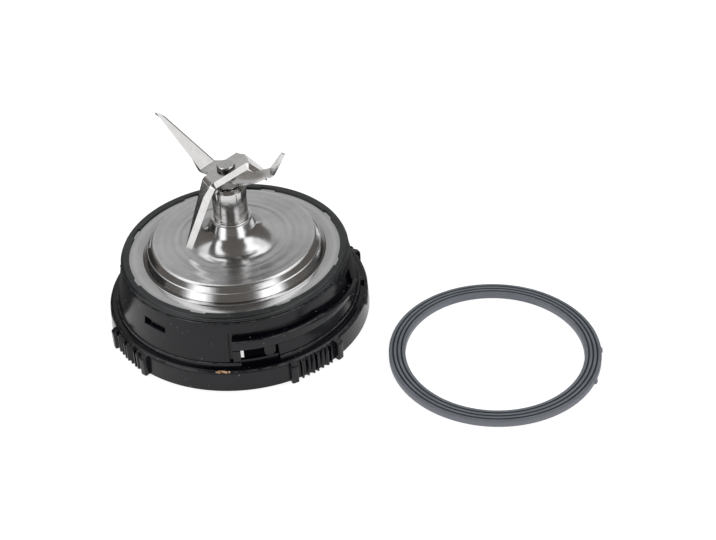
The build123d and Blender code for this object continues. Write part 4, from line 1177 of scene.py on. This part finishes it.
def white_floor():
    """Wide pale floor that glows a little and is lit as well, so that it is white and a soft shadow stays."""
    ends = np.array((-FLOOR_HALF, FLOOR_HALF))
    x, y = np.meshgrid(ends, ends)
    floor = surface("floor", np.stack([x, y, np.full_like(x, -FLOOR_DROP)], -1) / MM)
    finish = Finish(
        "floor_white",
        Roughness=0.9,
        Specular_IOR_Level=0.0,
        Base_Color=colour(FLOOR_TONE, FLOOR_TONE, FLOOR_TONE),
        Emission_Color=WHITE,
        Emission_Strength=FLOOR_GLOW,
    )
    floor.data.materials.append(finish.material)


def soft_lamp(name, place, size):
    """Square soft lamp that faces the unit and is left out of reflections."""
    lamp = bpy.data.lights.new(name, "AREA")
    lamp.size = size
    lamp.energy = LAMP_WATTS
    holder = bpy.data.objects.new(name, lamp)
    holder.location = place
    aim = Vector(LAMP_AIM) - Vector(place)
    holder.rotation_mode = "QUATERNION"
    holder.rotation_quaternion = aim.to_track_quat("-Z", "Y")
    holder.visible_glossy = False
    bpy.context.scene.collection.objects.link(holder)


def reflection_only(piece, tone):
    """Make a stage piece glow in one grey and leave it out of all but glossy rays; gives back its finish."""
    finish = Finish(
        piece.name,
        Roughness=1.0,
        Specular_IOR_Level=0.0,
        Base_Color=BLACK,
        Emission_Color=colour(tone, tone, tone),
        Emission_Strength=1.0,
    )
    piece.data.materials.append(finish.material)
    piece.visible_camera = False
    piece.visible_diffuse = False
    piece.visible_shadow = False
    return finish


def ball(azimuths, elevations, distance):
    """Points at a distance from the lamps' aim, over a grid of azimuths and elevations in degrees."""
    up = np.radians(elevations)[None]
    return np.array(LAMP_AIM) + distance * about_axis(np.cos(up), np.sin(up), azimuths[:, None])


def soft_span(value, low, high, edge):
    """One between low and high, nought outside, with a straight slope of the edge's width at both ends."""
    return np.clip((value - low) / edge + 0.5, 0, 1) * np.clip((high - value) / edge + 0.5, 0, 1)


def room_tone(x, y, z):
    """Grey of the room in a direction.

    Over the dark room lie a pale backdrop behind the unit, a large slanted lamp panel on each side, dimmer in
    its lower middle, and a tall soft box in front of each panel.
    """
    around = np.degrees(np.arctan2(y, np.abs(x)))
    up = np.degrees(np.arctan2(z, np.hypot(x, y)))
    panel = PANEL_TONE - DIP_TONE * soft_span(around, *DIP_AROUND) * soft_span(up, *DIP_UP)
    panel_up = soft_span(up, np.interp(around, *PANEL_LOW), PANEL_TOP, PANEL_EDGE)
    panel_around = soft_span(around, np.interp(up, *PANEL_FRONT), np.interp(up, *PANEL_BACK), PANEL_EDGE)
    tone = np.full_like(x, DARK_ROOM)
    for level, share in (
        (BACKDROP_TONE, soft_span(around, *BACKDROP_AROUND) * soft_span(up, *BACKDROP_UP)),
        (panel, panel_up * panel_around),
        (BOX_TONE, soft_span(around, *BOX_AROUND) * soft_span(up, *BOX_UP)),
    ):
        tone = tone + (level - tone) * share
    return tone


def reflected_room():
    """Dome that shows in reflections only; each of its points glows in the room's grey for its direction."""
    points = ball(full_turn(180), np.linspace(-2, 90, 70), ROOM_R)
    dome = surface("reflected_room", points / MM, wrap_u=True)
    places = np.empty(3 * len(dome.data.vertices))
    dome.data.vertices.foreach_get("co", places)
    tone = room_tone(*(places.reshape(-1, 3) - np.array(LAMP_AIM)).T)
    warm = WARMTH * np.clip(1 - 2 * tone, 0, 1)
    greys = np.stack([tone * (1 + warm), tone, tone * (1 - warm), np.ones_like(tone)], 1)
    layer = dome.data.color_attributes.new("room_tone", "FLOAT_COLOR", "POINT")
    layer.data.foreach_set("color", greys.ravel())
    finish = reflection_only(dome, DARK_ROOM)
    finish.feed(Emission_Color=finish.node("ShaderNodeAttribute", {"attribute_name": "room_tone"}))


def reflected_card(name, azimuths, elevations, distance, tone):
    """Low card near the unit that shows in reflections only: part of a ball about the unit, in one grey."""
    points = ball(np.linspace(*azimuths, 33), np.linspace(*elevations, 9), distance)
    reflection_only(surface(name, points / MM), tone)


def floor_card(name, azimuths, radii, tone):
    """Card flat on the floor that shows in reflections only: a sector of a ring round the unit, a painted
    shadow of the floor next to it.
    """
    points = about_axis(np.linspace(*radii, 5), FLOOR_CARD_Z, np.linspace(*azimuths, 33)[:, None])
    reflection_only(surface(name, points / MM), tone)


def photo_camera():
    """Camera at the fitted place: elevation, roll and distance about a target, with no shift."""
    back = Vector((0, -cos(radians(VIEW_ELEVATION)), sin(radians(VIEW_ELEVATION))))
    right = Vector((1, 0, 0))
    up = back.cross(right)
    c, s = cos(radians(VIEW_ROLL)), sin(radians(VIEW_ROLL))
    across = right * c + up * s
    upward = up * c - right * s
    place = (Vector(VIEW_TARGET) + back * VIEW_DISTANCE) * MM
    data = bpy.data.cameras.new("camera")
    data.sensor_fit = "HORIZONTAL"
    data.sensor_width = SENSOR_W
    data.lens = SENSOR_W * FOCAL_PX / IMAGE_W
    data.clip_start = CLIP_NEAR
    data.clip_end = CLIP_FAR
    camera = bpy.data.objects.new("camera", data)
    turn = Matrix((across, upward, back)).transposed().to_4x4()
    camera.matrix_world = Matrix.Translation(place) @ turn
    bpy.context.scene.collection.objects.link(camera)
    bpy.context.scene.camera = camera


white_world()
white_floor()

# Place and size of each lamp
soft_lamp("left_box", (-0.8, 0.3, 1.0), 1.1)
soft_lamp("right_box", (0.8, 0.3, 1.0), 1.1)
soft_lamp("front_fill", (0.1, -1.0, 1.1), 0.9)

# Azimuths, elevations, distance and grey of each low card; azimuths, radii and grey of each floor card
reflected_room()
reflected_card("left_flag", (140, 192), (-22, 6), 0.16, 0.03)
reflected_card("left_back_flag", (92, 140), (-20, 1), 0.3, 0.06)
reflected_card("back_flag", (66, 92), (-20, 1), 0.3, 0.5)
reflected_card("right_flag", (-25, 66), (-20, 1), 0.3, 0.1)
# painted shadow: dark floor next to the unit, in reflections only
floor_card("left_floor_card", (96, 185), (0.056, 0.15), 0.1)
floor_card("right_floor_card", (-5, 84), (0.056, 0.15), 0.1)
photo_camera()
bpy.context.scene.view_settings.view_transform = "Standard"
